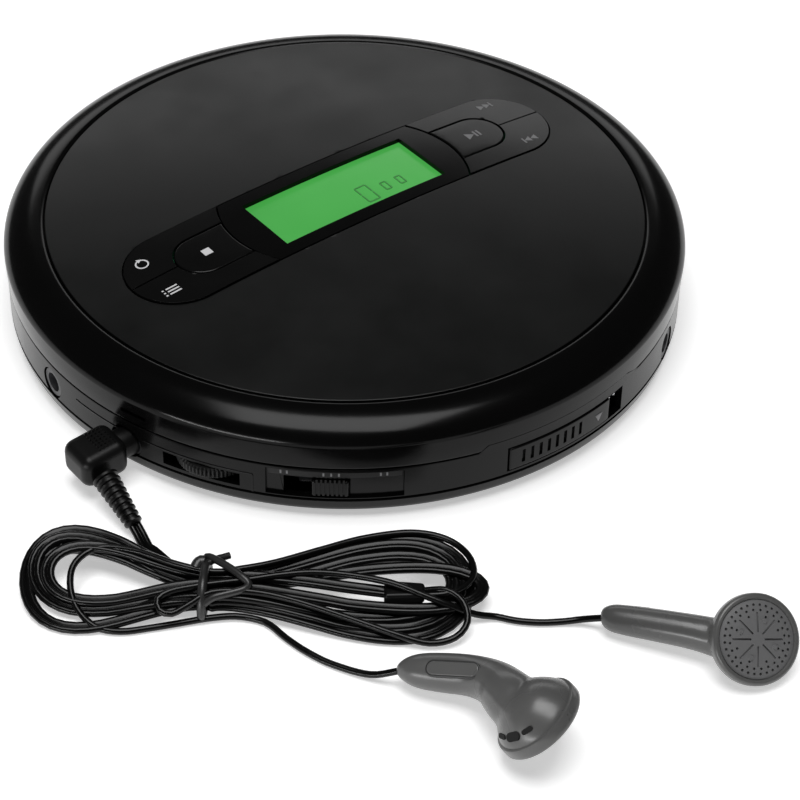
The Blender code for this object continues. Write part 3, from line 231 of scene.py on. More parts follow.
def pill(
    name: str, length: float, width: float, low: float, high: float, centre: Sequence[float], sides: int = 64
) -> bpy.types.Object:
    """Adds a flat slab with round ends, long in X.

    Args:
        name: The object's name.
        length: Half its length.
        width: Half its width.
        low: Height of its underside.
        high: Height of its top.
        centre: Middle in X and Y.
        sides: Facets round both ends together.

    Returns:
        The settled slab.
    """
    deselect()
    bpy.ops.mesh.primitive_circle_add(
        vertices=sides, radius=width, rotation=(0, 0, math.pi / sides), fill_type="NGON"
    )
    obj = named(name)
    straight = length - width
    shift(obj, lambda co: co.x > 0, (straight, 0, 0))
    shift(obj, lambda co: co.x < 0, (-straight, 0, 0))
    pick(obj, lambda co: True)
    bpy.ops.mesh.extrude_region_move(TRANSFORM_OT_translate={"value": (0, 0, high - low)})
    bpy.ops.mesh.select_all(action="SELECT")
    bpy.ops.mesh.normals_make_consistent(inside=False)
    bpy.ops.object.mode_set(mode="OBJECT")
    obj.location = (centre[0], centre[1], low)
    return settle(obj)


def moved(obj: bpy.types.Object, matrix: Matrix) -> bpy.types.Object:
    """Turns and moves a settled object and settles it again."""
    obj.matrix_world = matrix
    return settle(obj)


def facing_frame(direction: Vector, place: Vector) -> Matrix:
    """A frame at a place whose Z runs along a direction."""
    return Matrix.Translation(place) @ direction.to_track_quat("Z", "Y").to_matrix().to_4x4()


def boolean(
    obj: bpy.types.Object, tool: bpy.types.Object, operation: str = "DIFFERENCE"
) -> bpy.types.Object:
    """Cuts, joins or trims an object with a tool, which is then thrown away."""
    activate(obj)
    step = obj.modifiers.new("shape", "BOOLEAN")
    step.operation = operation
    step.solver = "EXACT"
    step.object = tool
    bpy.ops.object.modifier_apply(modifier=step.name)
    bpy.data.objects.remove(tool)
    return obj


def merged(name: str, pieces: Sequence[bpy.types.Object]) -> bpy.types.Object:
    """Joins loose pieces into one object."""
    deselect()
    for piece in pieces:
        piece.select_set(True)
    bpy.context.view_layer.objects.active = pieces[0]
    bpy.ops.object.join()
    pieces[0].name = name
    return pieces[0]


def copied(obj: bpy.types.Object, name: str) -> bpy.types.Object:
    """A copy with its own mesh."""
    twin = bpy.data.objects.new(name, obj.data.copy())
    bpy.context.scene.collection.objects.link(twin)
    return twin


def bevel(obj: bpy.types.Object, width: float, segments: int = 2, angle: float = 40) -> bpy.types.Object:
    """Rounds every edge sharper than an angle in degrees."""
    activate(obj)
    step = obj.modifiers.new("edges", "BEVEL")
    step.width = width
    step.segments = segments
    step.limit_method = "ANGLE"
    step.angle_limit = math.radians(angle)
    bpy.ops.object.modifier_apply(modifier=step.name)
    return obj


def smooth(obj: bpy.types.Object, angle: float = 35) -> bpy.types.Object:
    """Shades smooth up to an angle in degrees, the large faces leading."""
    activate(obj)
    bpy.ops.object.shade_smooth_by_angle(angle=math.radians(angle))
    weighted = obj.modifiers.new("weighted", "WEIGHTED_NORMAL")
    weighted.keep_sharp = True
    bpy.ops.object.modifier_apply(modifier=weighted.name)
    return obj


def graticule(
    obj: bpy.types.Object, step: float, low: Sequence[float], high: Sequence[float]
) -> bpy.types.Object:
    """Cuts a flat-topped piece into squares, so that it can follow the lid's dome."""
    activate(obj)
    bpy.ops.object.mode_set(mode="EDIT")
    for axis in (0, 1):
        normal = (1, 0, 0) if axis == 0 else (0, 1, 0)
        count = max(1, round((high[axis] - low[axis]) / step))
        for k in range(1, count):
            bpy.ops.mesh.select_all(action="SELECT")
            place = [0.0, 0.0, 0.0]
            place[axis] = low[axis] + (high[axis] - low[axis]) * k / count
            bpy.ops.mesh.bisect(plane_co=place, plane_no=normal)
    bpy.ops.object.mode_set(mode="OBJECT")
    return obj


def refined(node: bpy.types.Object, name: str, round_over: float = 0.0) -> bpy.types.Object:
    """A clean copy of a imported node: merged, its flat faces dissolved, its edges rounded.

    Args:
        node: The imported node's object.
        name: The new object's name.
        round_over: Width of the rounded edges, or 0 for none.

    Returns:
        The copy, still undressed.
    """
    obj = copied(node, name)
    obj.data.materials.clear()
    activate(obj)
    bpy.ops.object.mode_set(mode="EDIT")
    bpy.ops.mesh.select_all(action="SELECT")
    bpy.ops.mesh.remove_doubles(threshold=0.000003)
    bpy.ops.mesh.dissolve_limited(angle_limit=math.radians(0.4))
    bpy.ops.mesh.normals_make_consistent(inside=False)
    bpy.ops.object.mode_set(mode="OBJECT")
    if round_over:
        bevel(obj, round_over)
    return smooth(obj)


def tube(name: str, points: Sequence[Sequence[float]], radius: float, sides: int = 3) -> bpy.types.Object:
    """A round wire along a chain of points, as a mesh.

    Args:
        name: The object's name.
        points: Its centreline.
        radius: Its radius.
        sides: Bevel resolution of the curve.

    Returns:
        The wire.
    """
    curve = bpy.data.curves.new(name, "CURVE")
    curve.dimensions = "3D"
    curve.bevel_depth = radius
    curve.bevel_resolution = sides
    curve.use_fill_caps = True
    spline = curve.splines.new("POLY")
    spline.points.add(len(points) - 1)
    for point, co in zip(spline.points, points):
        point.co = (*co, 1)
    obj = bpy.data.objects.new(name, curve)
    bpy.context.scene.collection.objects.link(obj)
    activate(obj)
    bpy.ops.object.convert(target="MESH")
    obj = bpy.context.object
    activate(obj)
    bpy.ops.object.shade_smooth()
    return obj


def on_circle(radius: float, degrees: float, height: float = 0.0) -> Vector:
    """A point on a circle about Z."""
    turn = math.radians(degrees)
    return Vector((radius * math.cos(turn), radius * math.sin(turn), height))


def flowing(points: Sequence[Sequence[float]], step: float) -> list[Vector]:
    """Points about a step apart on one smooth curve through the given ones."""
    knots = [Vector(p) for p in points]
    ends = [2 * knots[0] - knots[1], *knots, 2 * knots[-1] - knots[-2]]
    found = []
    for before, a, b, after in zip(ends, ends[1:], ends[2:], ends[3:]):
        pieces = max(1, round((b - a).length / step))
        for k in range(pieces):
            t = k / pieces
            bend = 2 * a + (b - before) * t + (2 * before - 5 * a + 4 * b - after) * t**2
            found.append(0.5 * (bend + (3 * a - before - 3 * b + after) * t**3))
    return [*found, knots[-1]]


# ------------------------------------------------------------------ finishes


def surface_grain() -> bpy.types.NodeTree:
    """The group that gives every finish its fine grain and its broad, faint mottling."""
    group = bpy.data.node_groups.get("surface_grain")
    if group:
        return group
    group = bpy.data.node_groups.new("surface_grain", "ShaderNodeTree")
    face = group.interface
    face.new_socket("Vector", in_out="INPUT", socket_type="NodeSocketVector")
    for name, value in (("Grain Scale", 3000.0), ("Mottle Scale", 60.0)):
        face.new_socket(name, in_out="INPUT", socket_type="NodeSocketFloat").default_value = value
    face.new_socket("Height", in_out="OUTPUT", socket_type="NodeSocketFloat")
    face.new_socket("Mottle", in_out="OUTPUT", socket_type="NodeSocketFloat")
    nodes, links = group.nodes, group.links
    entry, leave = nodes.new("NodeGroupInput"), nodes.new("NodeGroupOutput")
    for output, scale, detail in (("Height", "Grain Scale", 3.0), ("Mottle", "Mottle Scale", 4.0)):
        noise = nodes.new("ShaderNodeTexNoise")
        noise.inputs["Detail"].default_value = detail
        links.new(entry.outputs["Vector"], noise.inputs["Vector"])
        links.new(entry.outputs[scale], noise.inputs["Scale"])
        links.new(noise.outputs["Fac"], leave.inputs[output])
    return group


@dataclass(frozen=True)
class Finish:
    """A plain moulded, painted or metal surface.

    Attributes:
        name: The material's name.
        colour: Base colour.
        roughness: Middle of its roughness.
        vary: How far the roughness wanders either side.
        metallic: 1 for bare metal.
        grain: Height of the grain in metres.
        grain_scale: Grains to the metre.
        mottle_scale: Patches of mottling to the metre.
        fade: How much lighter the mottled colour gets.
        coat: Weight of a clear coat.
        specular: Strength of its plain reflection.
        stretch: How far the grain is drawn out along X, Y and Z.
    """

    name: str
    colour: tuple[float, float, float]
    roughness: float
    vary: float = 0.04
    metallic: float = 0.0
    grain: float = 0.0
    grain_scale: float = 3000.0
    mottle_scale: float = 60.0
    fade: float = 0.15
    coat: float = 0.0
    specular: float = 0.5
    stretch: tuple[float, float, float] = (1.0, 1.0, 1.0)

    def material(self) -> bpy.types.Material:
        """The material, built once."""
        made = bpy.data.materials.get(self.name)
        if made:
            return made
        made = bpy.data.materials.new(self.name)
        made.use_nodes = True
        tree = made.node_tree
        shader = tree.nodes["Principled BSDF"]
        shader.inputs["Metallic"].default_value = self.metallic
        shader.inputs["Coat Weight"].default_value = self.coat
        shader.inputs["Coat Roughness"].default_value = 0.05
        shader.inputs["Specular IOR Level"].default_value = self.specular
        group = self.grained(tree)
        self.mottled(tree, group, shader)
        if self.grain:
            bump = tree.nodes.new("ShaderNodeBump")
            bump.inputs["Strength"].default_value = 1.0
            bump.inputs["Distance"].default_value = self.grain
            tree.links.new(group.outputs["Height"], bump.inputs["Height"])
            tree.links.new(bump.outputs["Normal"], shader.inputs["Normal"])
        return made

    def grained(self, tree: bpy.types.NodeTree) -> bpy.types.Node:
        """Places the grain group on Object coordinates."""
        place = tree.nodes.new("ShaderNodeTexCoord")
        mapping = tree.nodes.new("ShaderNodeMapping")
        mapping.inputs["Scale"].default_value = self.stretch
        group = tree.nodes.new("ShaderNodeGroup")
        group.node_tree = surface_grain()
        group.inputs["Grain Scale"].default_value = self.grain_scale
        group.inputs["Mottle Scale"].default_value = self.mottle_scale
        tree.links.new(place.outputs["Object"], mapping.inputs["Vector"])
        tree.links.new(mapping.outputs["Vector"], group.inputs["Vector"])
        return group

    def mottled(self, tree: bpy.types.NodeTree, group: bpy.types.Node, shader: bpy.types.Node) -> None:
        """Lets roughness and colour wander with the mottling."""
        spread = tree.nodes.new("ShaderNodeMapRange")
        spread.inputs["From Min"].default_value = 0.3
        spread.inputs["From Max"].default_value = 0.7
        spread.inputs["To Min"].default_value = max(0.02, self.roughness - self.vary)
        spread.inputs["To Max"].default_value = min(1.0, self.roughness + self.vary)
        tree.links.new(group.outputs["Mottle"], spread.inputs["Value"])
        tree.links.new(spread.outputs["Result"], shader.inputs["Roughness"])
        tint = tree.nodes.new("ShaderNodeMix")
        tint.data_type = "RGBA"
        tint.inputs["A"].default_value = (*self.colour, 1)
        lighter = [min(1.0, c * (1 + self.fade) + 0.002 * self.fade) for c in self.colour]
        tint.inputs["B"].default_value = (*lighter, 1)
        tree.links.new(group.outputs["Mottle"], tint.inputs["Factor"])
        tree.links.new(tint.outputs["Result"], shader.inputs["Base Color"])


GLOSS = Finish(
    "polished_black", (0.0016, 0.0016, 0.0016), 0.17, vary=0.02, specular=0.14,
    grain=0.000002, grain_scale=900,
)
PANEL = Finish(
    "panel_satin_black", (0.0022, 0.0024, 0.0023), 0.34, specular=0.27,
    grain=0.000006, grain_scale=5200,
)
CASE = Finish(
    "case_satin_black", (0.0020, 0.0020, 0.0020), 0.20, specular=0.17,
    grain=0.000004, grain_scale=4200,
)
SIDE = Finish(
    "side_panel_black", (0.0075, 0.0075, 0.0075), 0.45, specular=0.26,
    grain=0.00001, grain_scale=5200,
)
KEY = Finish(
    "key_satin_black", (0.0022, 0.0022, 0.0022), 0.19, specular=0.22, vary=0.03,
    grain=0.000003, grain_scale=4500,
)
PRINT = Finish("printed_grey", (0.62, 0.62, 0.63), 0.55, grain=0.000002)
DARK_PRINT = Finish("printed_dim_grey", (0.17, 0.17, 0.175), 0.55, grain=0.000002)
BUD = Finish("earbud_moulding", (0.082, 0.082, 0.081), 0.28, vary=0.05, grain=0.000006, grain_scale=3800)
BUD_DARK = Finish("earbud_pad", (0.020, 0.020, 0.020), 0.40, grain=0.000006, grain_scale=3800)
GRILLE = Finish("grille_grey", (0.14, 0.14, 0.142), 0.42, metallic=0.2, grain=0.000004)
CORD = Finish(
    "cord_vinyl", (0.0024, 0.0024, 0.0024), 0.19, vary=0.03, specular=0.24,
    grain=0.000006, grain_scale=2600,
)
PLUG = Finish(
    "plug_moulding", (0.0030, 0.0030, 0.0030), 0.36, specular=0.20,
    grain=0.000012, grain_scale=3200,
)
TIE = Finish("tie_plastic", (0.016, 0.016, 0.016), 0.36, grain=0.00001, grain_scale=2600)
RUBBER = Finish("foot_elastomer", (0.018, 0.018, 0.018), 0.80, grain=0.00003, grain_scale=2500)
# Near-black and nearly matte: painted shade for openings that are not cut, such as the earbud vents.
VENT_SHADE = Finish("painted_vent_shade", (0.0015, 0.0015, 0.0015), 0.9)
STEEL = Finish("bright_steel", (0.60, 0.60, 0.62), 0.25, metallic=1, grain=0.000003, stretch=(1, 14, 14))
GOLD = Finish("plated_tip", (0.80, 0.78, 0.74), 0.18, metallic=1, grain=0.000002)
BRASS = Finish("turned_brass", (0.76, 0.57, 0.25), 0.28, metallic=1, grain=0.000003)
IVORY = Finish("hub_ivory", (0.62, 0.61, 0.57), 0.38, grain=0.000006)
DRIVE = Finish("drive_grey", (0.035, 0.035, 0.038), 0.45, grain=0.00001, grain_scale=3500)
BOARD = Finish("solder_mask", (0.012, 0.10, 0.045), 0.35, grain=0.000008)
CELL = Finish("cell_sleeve", (0.04, 0.08, 0.26), 0.28, coat=0.5)
WELL = Finish("well_satin_black", (0.0080, 0.0080, 0.0084), 0.38, grain=0.00001, grain_scale=3800)


def lit_green() -> bpy.types.Material:
    """The backlit display: bright green, a little uneven."""
    made = bpy.data.materials.new("backlit_green")
    made.use_nodes = True
    tree = made.node_tree
    shader = tree.nodes["Principled BSDF"]
    shader.inputs["Roughness"].default_value = 0.25
    shader.inputs["Emission Strength"].default_value = 0.85
    place = tree.nodes.new("ShaderNodeTexCoord")
    noise = tree.nodes.new("ShaderNodeTexNoise")
    noise.inputs["Scale"].default_value = 45
    tint = tree.nodes.new("ShaderNodeMix")
    tint.data_type = "RGBA"
    tint.inputs["A"].default_value = (0.030, 0.215, 0.034, 1)
    tint.inputs["B"].default_value = (0.046, 0.262, 0.050, 1)
    tree.links.new(place.outputs["Object"], noise.inputs["Vector"])
    tree.links.new(noise.outputs["Fac"], tint.inputs["Factor"])
    tree.links.new(tint.outputs["Result"], shader.inputs["Base Color"])
    tree.links.new(tint.outputs["Result"], shader.inputs["Emission Color"])
    return made


def plain_glow(name: str, colour: tuple[float, float, float], strength: float) -> bpy.types.Material:
    """A material that shines a little by itself."""
    made = bpy.data.materials.new(name)
    made.use_nodes = True
    shader = made.node_tree.nodes["Principled BSDF"]
    shader.inputs["Base Color"].default_value = (*colour, 1)
    shader.inputs["Emission Color"].default_value = (*colour, 1)
    shader.inputs["Emission Strength"].default_value = strength
    shader.inputs["Roughness"].default_value = 0.4
    return made


def dress(
    obj: bpy.types.Object,
    finish: Finish | bpy.types.Material,
    body: str,
    slot: str,
    *nodes: str,
) -> bpy.types.Object:
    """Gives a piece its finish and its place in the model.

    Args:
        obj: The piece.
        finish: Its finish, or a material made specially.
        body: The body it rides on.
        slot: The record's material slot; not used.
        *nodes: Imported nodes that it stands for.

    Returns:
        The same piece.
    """
    obj.data.materials.clear()
    obj.data.materials.append(finish.material() if isinstance(finish, Finish) else finish)
    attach(obj, body)
    if nodes:
        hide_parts(*nodes)
    LOG.info("%s on %s", obj.name, body)
    return obj


# ------------------------------------------------------------------ studio


@dataclass
class Studio:
    """Camera, floor and soft lights."""

    place: Point = (-0.24158, -0.31746, 0.31435)
    right: Point = (0.78672, -0.61704, 0.01814)
    up: Point = (0.39280, 0.52305, 0.75639)
    ahead: Point = (0.47621, 0.58794, -0.65387)
    lens: float = 108.0

    def camera(self) -> None:
        """Adds the camera."""
        data = bpy.data.cameras.new("camera")
        data.lens = self.lens
        data.sensor_width = 36
        data.clip_start = 0.01
        camera = bpy.data.objects.new("camera", data)
        bpy.context.scene.collection.objects.link(camera)
        back = -Vector(self.ahead)
        turn = Matrix((self.right, self.up, back)).transposed().to_4x4()
        camera.matrix_world = Matrix.Translation(Vector(self.place)) @ turn
        bpy.context.scene.camera = camera

    def floor(self) -> None:
        """Adds the pale floor."""
        deselect()
        bpy.ops.mesh.primitive_plane_add(size=8, location=(0, 0, -0.00005))
        floor = named("floor")
        made = bpy.data.materials.new("floor_white")
        made.use_nodes = True
        shader = made.node_tree.nodes["Principled BSDF"]
        shader.inputs["Base Color"].default_value = (0.90, 0.90, 0.90, 1)
        shader.inputs["Roughness"].default_value = 0.9
        shader.inputs["Specular IOR Level"].default_value = 0.0
        shader.inputs["Emission Color"].default_value = (1, 1, 1, 1)
        shader.inputs["Emission Strength"].default_value = 0.46
        floor.data.materials.append(made)

    def softbox(self, name: str, place: Point, aim: Point, size: tuple[float, float], power: float) -> None:
        """Adds one rectangular light.

        Args:
            name: The light's name.
            place: Where it stands.
            aim: The point that it faces.
            size: Its width and height.
            power: Its power in watts.
        """
        data = bpy.data.lights.new(name, "AREA")
        data.shape = "RECTANGLE"
        data.size, data.size_y = size
        data.energy = power
        light = bpy.data.objects.new(name, data)
        bpy.context.scene.collection.objects.link(light)
        light.location = place
        light.rotation_euler = (Vector(aim) - Vector(place)).to_track_quat("-Z", "Y").to_euler()

    def build(self) -> None:
        """Sets up the studio."""
        self.camera()
        self.floor()
        world = bpy.data.worlds.new("studio")
        world.use_nodes = True
        world.node_tree.nodes["Background"].inputs["Color"].default_value = (1, 1, 1, 1)
        world.node_tree.nodes["Background"].inputs["Strength"].default_value = 0.05
        bpy.context.scene.world = world
        bpy.context.scene.view_settings.view_transform = "Standard"
        self.softbox("overhead", (-0.12, -0.10, 1.2), (0, 0, 0), (0.78, 0.70), 11)
        self.softbox("left_strip", (-0.92, -0.30, 0.11), (0, 0, 0.02), (0.60, 0.05), 3.0)
        self.softbox("far", (0.80, 1.1, 0.62), (0, 0, 0), (1.3, 0.34), 2.2)


# ------------------------------------------------------------------ earphone cords


class FarEnd(Enum):
    """What stands on a cord's far end."""

    PIECE = "connector"
    EARBUD = "fitting"


class Jacket(Enum):
    """The two cross sections of the cord."""

    TWIN = "twin"
    SINGLE = "single"


@dataclass(frozen=True)
class Lobe:
    """One round end of one turn of the hank.

    Attributes:
        end: How far along the hank it reaches.
        far: How far across its far strand swings.
        near: How far across its near strand swings.
        rest: Height of its near strand.
        rise: How much higher its far strand lies.
    """

    end: float
    far: float
    near: float
    rest: float
    rise: float


@dataclass
class Cords:
    """The earphones' lead: a twin cord wound into a tied hank, then one cord to each earbud.

    Attributes:
        centre: Middle of the hank on the table.
        angle: Degrees that the hank lies at.
        waist: Place of the tie, along and across the hank.
        single: Radius of one cord.
        column: Distance between the columns of strands under the tie.
        layer: Distance between their layers.
        base: Height of the lowest strand under the tie.
        right_lobes: The hank's right ends, in the order that the lead takes them.
        left_lobes: Its left ends.
        outward: Column and layer under the tie of each strand that leads to the right.
        homeward: The same for each strand that leads back to the left.
    """

    centre: tuple[float, float] = (-0.0688, -0.0632)
    angle: float = -38.8
    waist: tuple[float, float] = (-0.0072, -0.0002)
    single: float = 0.65 * MM
    column: float = 2.7 * MM
    layer: float = 1.32 * MM
    base: float = 1.9 * MM

    right_lobes: tuple[Lobe, ...] = (
        Lobe(39.2, 13.4, -8.0, 0.75, 3.2),
        Lobe(37.6, 11.4, -6.0, 1.25, 3.6),
        Lobe(36.2, 9.4, -3.6, 1.75, 2.6),
        Lobe(41.6, 6.0, -3.4, 3.1, 1.2),
    )
    left_lobes: tuple[Lobe, ...] = (
        Lobe(-41.6, 13.6, -6.8, 0.75, 4.0),
        Lobe(-40.2, 11.6, -2.6, 1.50, 4.2),
        Lobe(-38.8, 9.6, -0.8, 0.90, 3.8),
        Lobe(-37.6, 8.2, -2.4, 2.60, 3.2),
    )
    outward: tuple[tuple[int, int], ...] = ((1, 0), (1, 1), (0, 0), (0, 1), (1, 2))
    homeward: tuple[tuple[int, int], ...] = ((-1, 0), (-1, 1), (-1, 2), (0, 2))

    def place(self, along: float, across: float, height: float) -> Vector:
        """A point given in the hank's own directions, in metres."""
        turn = math.radians(self.angle)
        return Vector(
            (
                self.centre[0] + along * math.cos(turn) - across * math.sin(turn),
                self.centre[1] + along * math.sin(turn) + across * math.cos(turn),
                height,
            )
        )

    def places(self, rows: Iterable[Point]) -> list[Vector]:
        """Points given in millimetres in the hank's own directions."""
        return [self.place(a * MM, c * MM, z * MM) for a, c, z in rows]

    def under_tie(self, slot: tuple[int, int]) -> tuple[float, float]:
        """Where a strand crosses under the tie, across the hank and in height."""
        return self.waist[1] + slot[0] * self.column, self.base + slot[1] * self.layer

    def round_lobe(
        self, lobe: Lobe, start: tuple[int, int], stop: tuple[int, int], leaving: float, steps: int = 44
    ) -> list[Vector]:
        """One strand's way from the tie round a lobe and back.

        Args:
            lobe: The lobe's size.
            start: Column and layer where the strand leaves the tie.
            stop: Column and layer where it comes back.
            leaving: 1 where it leaves on the far side, -1 where it leaves on the near side.
            steps: Points round the lobe.

        Returns:
            The strand's points.
        """
        first, last = self.under_tie(start), self.under_tie(stop)
        reach = lobe.end * MM - self.waist[0]
        middle = (lobe.far + lobe.near) / 2 * MM
        found = []
        for k in range(steps):
            turn = 2 * math.pi * k / steps
            out = math.sin(turn / 2) ** 2
            swing = 1.54 * math.sin(turn) * math.sin(turn / 2) ** 2 * leaving
            side = (lobe.far * MM - middle) if swing > 0 else (middle - lobe.near * MM)
            blend = k / steps
            across = (first[0] * (1 - blend) + last[0] * blend) * (1 - out) + middle * out + swing * side
            lift = (lobe.rest + lobe.rise * (0.5 + 0.5 * swing)) * MM
            tied = first[1] if blend < 0.5 else last[1]
            hold = min(1.0, out * 1.6) if out < 0.5 else 1.0
            hold = hold * hold * (3 - 2 * hold)
            height = tied * (1 - hold) + lift * hold
            found.append(self.place(self.waist[0] + reach * out, across, height))
        return found

    def twin_way(self) -> list[Vector]:
        """The twin cord, from the strain relief to the block where it divides."""
        way = [
            Vector(p) * MM
            for p in (
                (-76.0, -35.0, 2.2),
                (-76.2, -37.0, 1.45),
                (-76.8, -40.4, 0.75),
            )
        ]
        way += self.places(((-19.4, 11.9, 0.75), (-15.4, 7.6, 0.8), (-12.2, 4.6, 0.95)))
        for k, lobe in enumerate(self.right_lobes):
            way += self.round_lobe(lobe, self.outward[k], self.homeward[k], 1)
            way += self.round_lobe(self.left_lobes[k], self.homeward[k], self.outward[k + 1], -1)
        across, height = self.under_tie(self.outward[-1])
        way.append(self.place(self.waist[0], across, height))
        return way + self.places(((2.0, 1.7, 4.9), (10.0, 0.5, 5.2), (17.0, -0.4, 4.9), (24.6, -0.9, 4.3)))

    def left_way(self) -> list[Vector]:
        """The cord to the left earbud."""
        way = self.places(
            (
                (30.4, -1.5, 4.3),
                (34.6, -1.5, 4.8),
                (38.0, 0.2, 4.8),
                (40.0, 4.0, 4.5),
                (39.0, 8.8, 4.6),
                (35.0, 12.6, 4.9),
                (28.6, 13.8, 5.2),
                (20.0, 12.0, 5.3),
                (12.0, 8.6, 5.4),
                (4.0, 5.0, 5.5),
                (-2.0, 3.0, 5.7),
                (-7.2, 1.9, 5.8),
                (-14.0, 3.4, 6.0),
                (-22.0, 6.6, 6.1),
                (-28.8, 7.4, 5.8),
                (-32.6, 4.4, 5.0),
                (-33.2, 0.2, 3.8),
                (-31.6, -4.4, 2.2),
                (-28.0, -7.8, 1.0),
                (-23.4, -8.6, 0.70),
                (-18.2, -7.6, 0.70),
                (-12.0, -6.0, 0.75),
                (-7.6, -5.0, 0.9),
                (-3.0, -4.4, 0.9),
            )
        )
        return way + [
            Vector(p) * MM
            for p in (
                (-71.1, -67.8, 0.75),
                (-70.1, -70.4, 0.8),
                (-69.7, -74.5, 0.7),
                (-68.7, -79.6, 0.7),
                (-66.8, -84.8, 0.7),
                (-63.4, -91.0, 1.3),
                (-60.0, -95.2, 3.7),
            )
        ]

    def right_way(self) -> list[Vector]:
        """The cord to the right earbud."""
        way = self.places(
            (
                (30.4, -0.3, 4.3),
                (35.0, -0.9, 5.2),
                (38.0, -3.2, 4.6),
                (38.8, -6.6, 3.0),
                (36.6, -9.4, 1.8),
                (32.0, -10.4, 1.3),
                (26.0, -9.4, 2.3),
                (18.0, -7.0, 3.5),
                (8.0, -4.2, 4.9),
                (0.0, -2.8, 5.6),
                (-7.2, -3.2, 5.7),
                (-11.2, -5.3, 4.6),
                (-14.2, -6.8, 3.7),
                (-16.4, -6.2, 3.9),
                (-16.9, -4.2, 4.7),
                (-14.8, -2.7, 5.2),
                (-11.2, -1.9, 5.6),
                (-7.2, -1.2, 5.9),
                (-1.0, 0.0, 5.9),
                (5.0, 1.3, 6.0),
                (11.0, 1.9, 6.2),
                (18.0, 1.2, 6.3),
                (25.0, -0.6, 6.4),
                (31.0, -2.4, 5.2),
                (36.0, -3.5, 3.8),
                (40.4, -3.5, 1.8),
            )
        )
        return way + [
            Vector(p) * MM
            for p in (
                (-36.3, -93.2, 0.8),
                (-34.0, -96.1, 0.7),
                (-30.9, -99.0, 0.7),
                (-27.5, -101.4, 0.8),
                (-24.6, -103.8, 1.6),
                (-22.3, -106.9, 3.1),
            )
        ]

    def section(self, jacket: Jacket) -> bpy.types.Object:
        """The closed outline that a cord is drawn along.

        Args:
            jacket: Twin or single.

        Returns:
            A flat curve object.
        """
        offset = self.single if jacket is Jacket.TWIN else 0.0
        if jacket is Jacket.TWIN:
            rim = [(offset, turn) for turn in range(-153, 154, 34)] + [
                (-offset, turn) for turn in range(27, 334, 34)
            ]
        else:
            rim = [(0.0, turn) for turn in range(0, 360, 36)]
        curve = bpy.data.curves.new(f"section_{jacket.value}", "CURVE")
        curve.dimensions = "2D"
        spline = curve.splines.new("POLY")
        spline.points.add(len(rim) - 1)
        spline.use_cyclic_u = True
        for point, (aside, turn) in zip(spline.points, rim):
            angle = math.radians(turn)
            point.co = (
                aside + self.single * math.cos(angle),
                self.single * math.sin(angle),
                0,
                1,
            )
        outline = bpy.data.objects.new(f"section_{jacket.value}", curve)
        bpy.context.scene.collection.objects.link(outline)
        return outline

    def draw(self, name: str, way: list[Vector], jacket: Jacket) -> bpy.types.Object:
        """Draws one cord as a mesh.

        Args:
            name: The piece's name.
            way: Its centreline.
            jacket: Its section.

        Returns:
            The cord.
        """
        curve = bpy.data.curves.new(name, "CURVE")
        curve.dimensions = "3D"
        curve.twist_mode = "Z_UP"
        curve.bevel_mode = "OBJECT"
        outline = self.section(jacket)
        curve.bevel_object = outline
        curve.use_fill_caps = True
        spline = curve.splines.new("POLY")
        spline.points.add(len(way) - 1)
        for point, co in zip(spline.points, way):
            point.co = (*co, 1)
        obj = bpy.data.objects.new(name, curve)
        bpy.context.scene.collection.objects.link(obj)
        activate(obj)
        bpy.ops.object.convert(target="MESH")
        obj = bpy.context.object
        obj.name = name
        bpy.data.objects.remove(outline)
        activate(obj)
        bpy.ops.object.mode_set(mode="EDIT")
        bpy.ops.mesh.select_all(action="SELECT")
        bpy.ops.mesh.normals_make_consistent(inside=False)
        bpy.ops.object.mode_set(mode="OBJECT")
        return smooth(obj, 50)

    def declare(
        self,
        name: str,
        way: list[Vector],
        jacket: Jacket,
        stands_for: Sequence[str],
    ) -> None:
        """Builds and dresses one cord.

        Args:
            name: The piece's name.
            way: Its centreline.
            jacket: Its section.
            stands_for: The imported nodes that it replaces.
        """
        obj = dress(self.draw(name, way, jacket), CORD, "case", "cord_jacket", *stands_for)

    def build(self, splitter: bpy.types.Object, left: bpy.types.Object, right: bpy.types.Object) -> None:
        """Lays the three cords.

        Args:
            splitter: The block where the lead divides; not used.
            left: The left earbud; not used.
            right: The right earbud; not used.
        """
        step = 1.7 * MM
        twin = flowing(self.twin_way(), step)
        self.declare(
            "twin_cord", twin, Jacket.TWIN, ("plug_lead", "cord_hank")
        )
        for name, way, bud in (("left", self.left_way(), left), ("right", self.right_way(), right)):
            route = flowing(way, 1.2 * MM)
            self.declare(
                f"{name}_cord", route, Jacket.SINGLE, (f"{name}_lead",)
            )


# ------------------------------------------------------------------ earphones


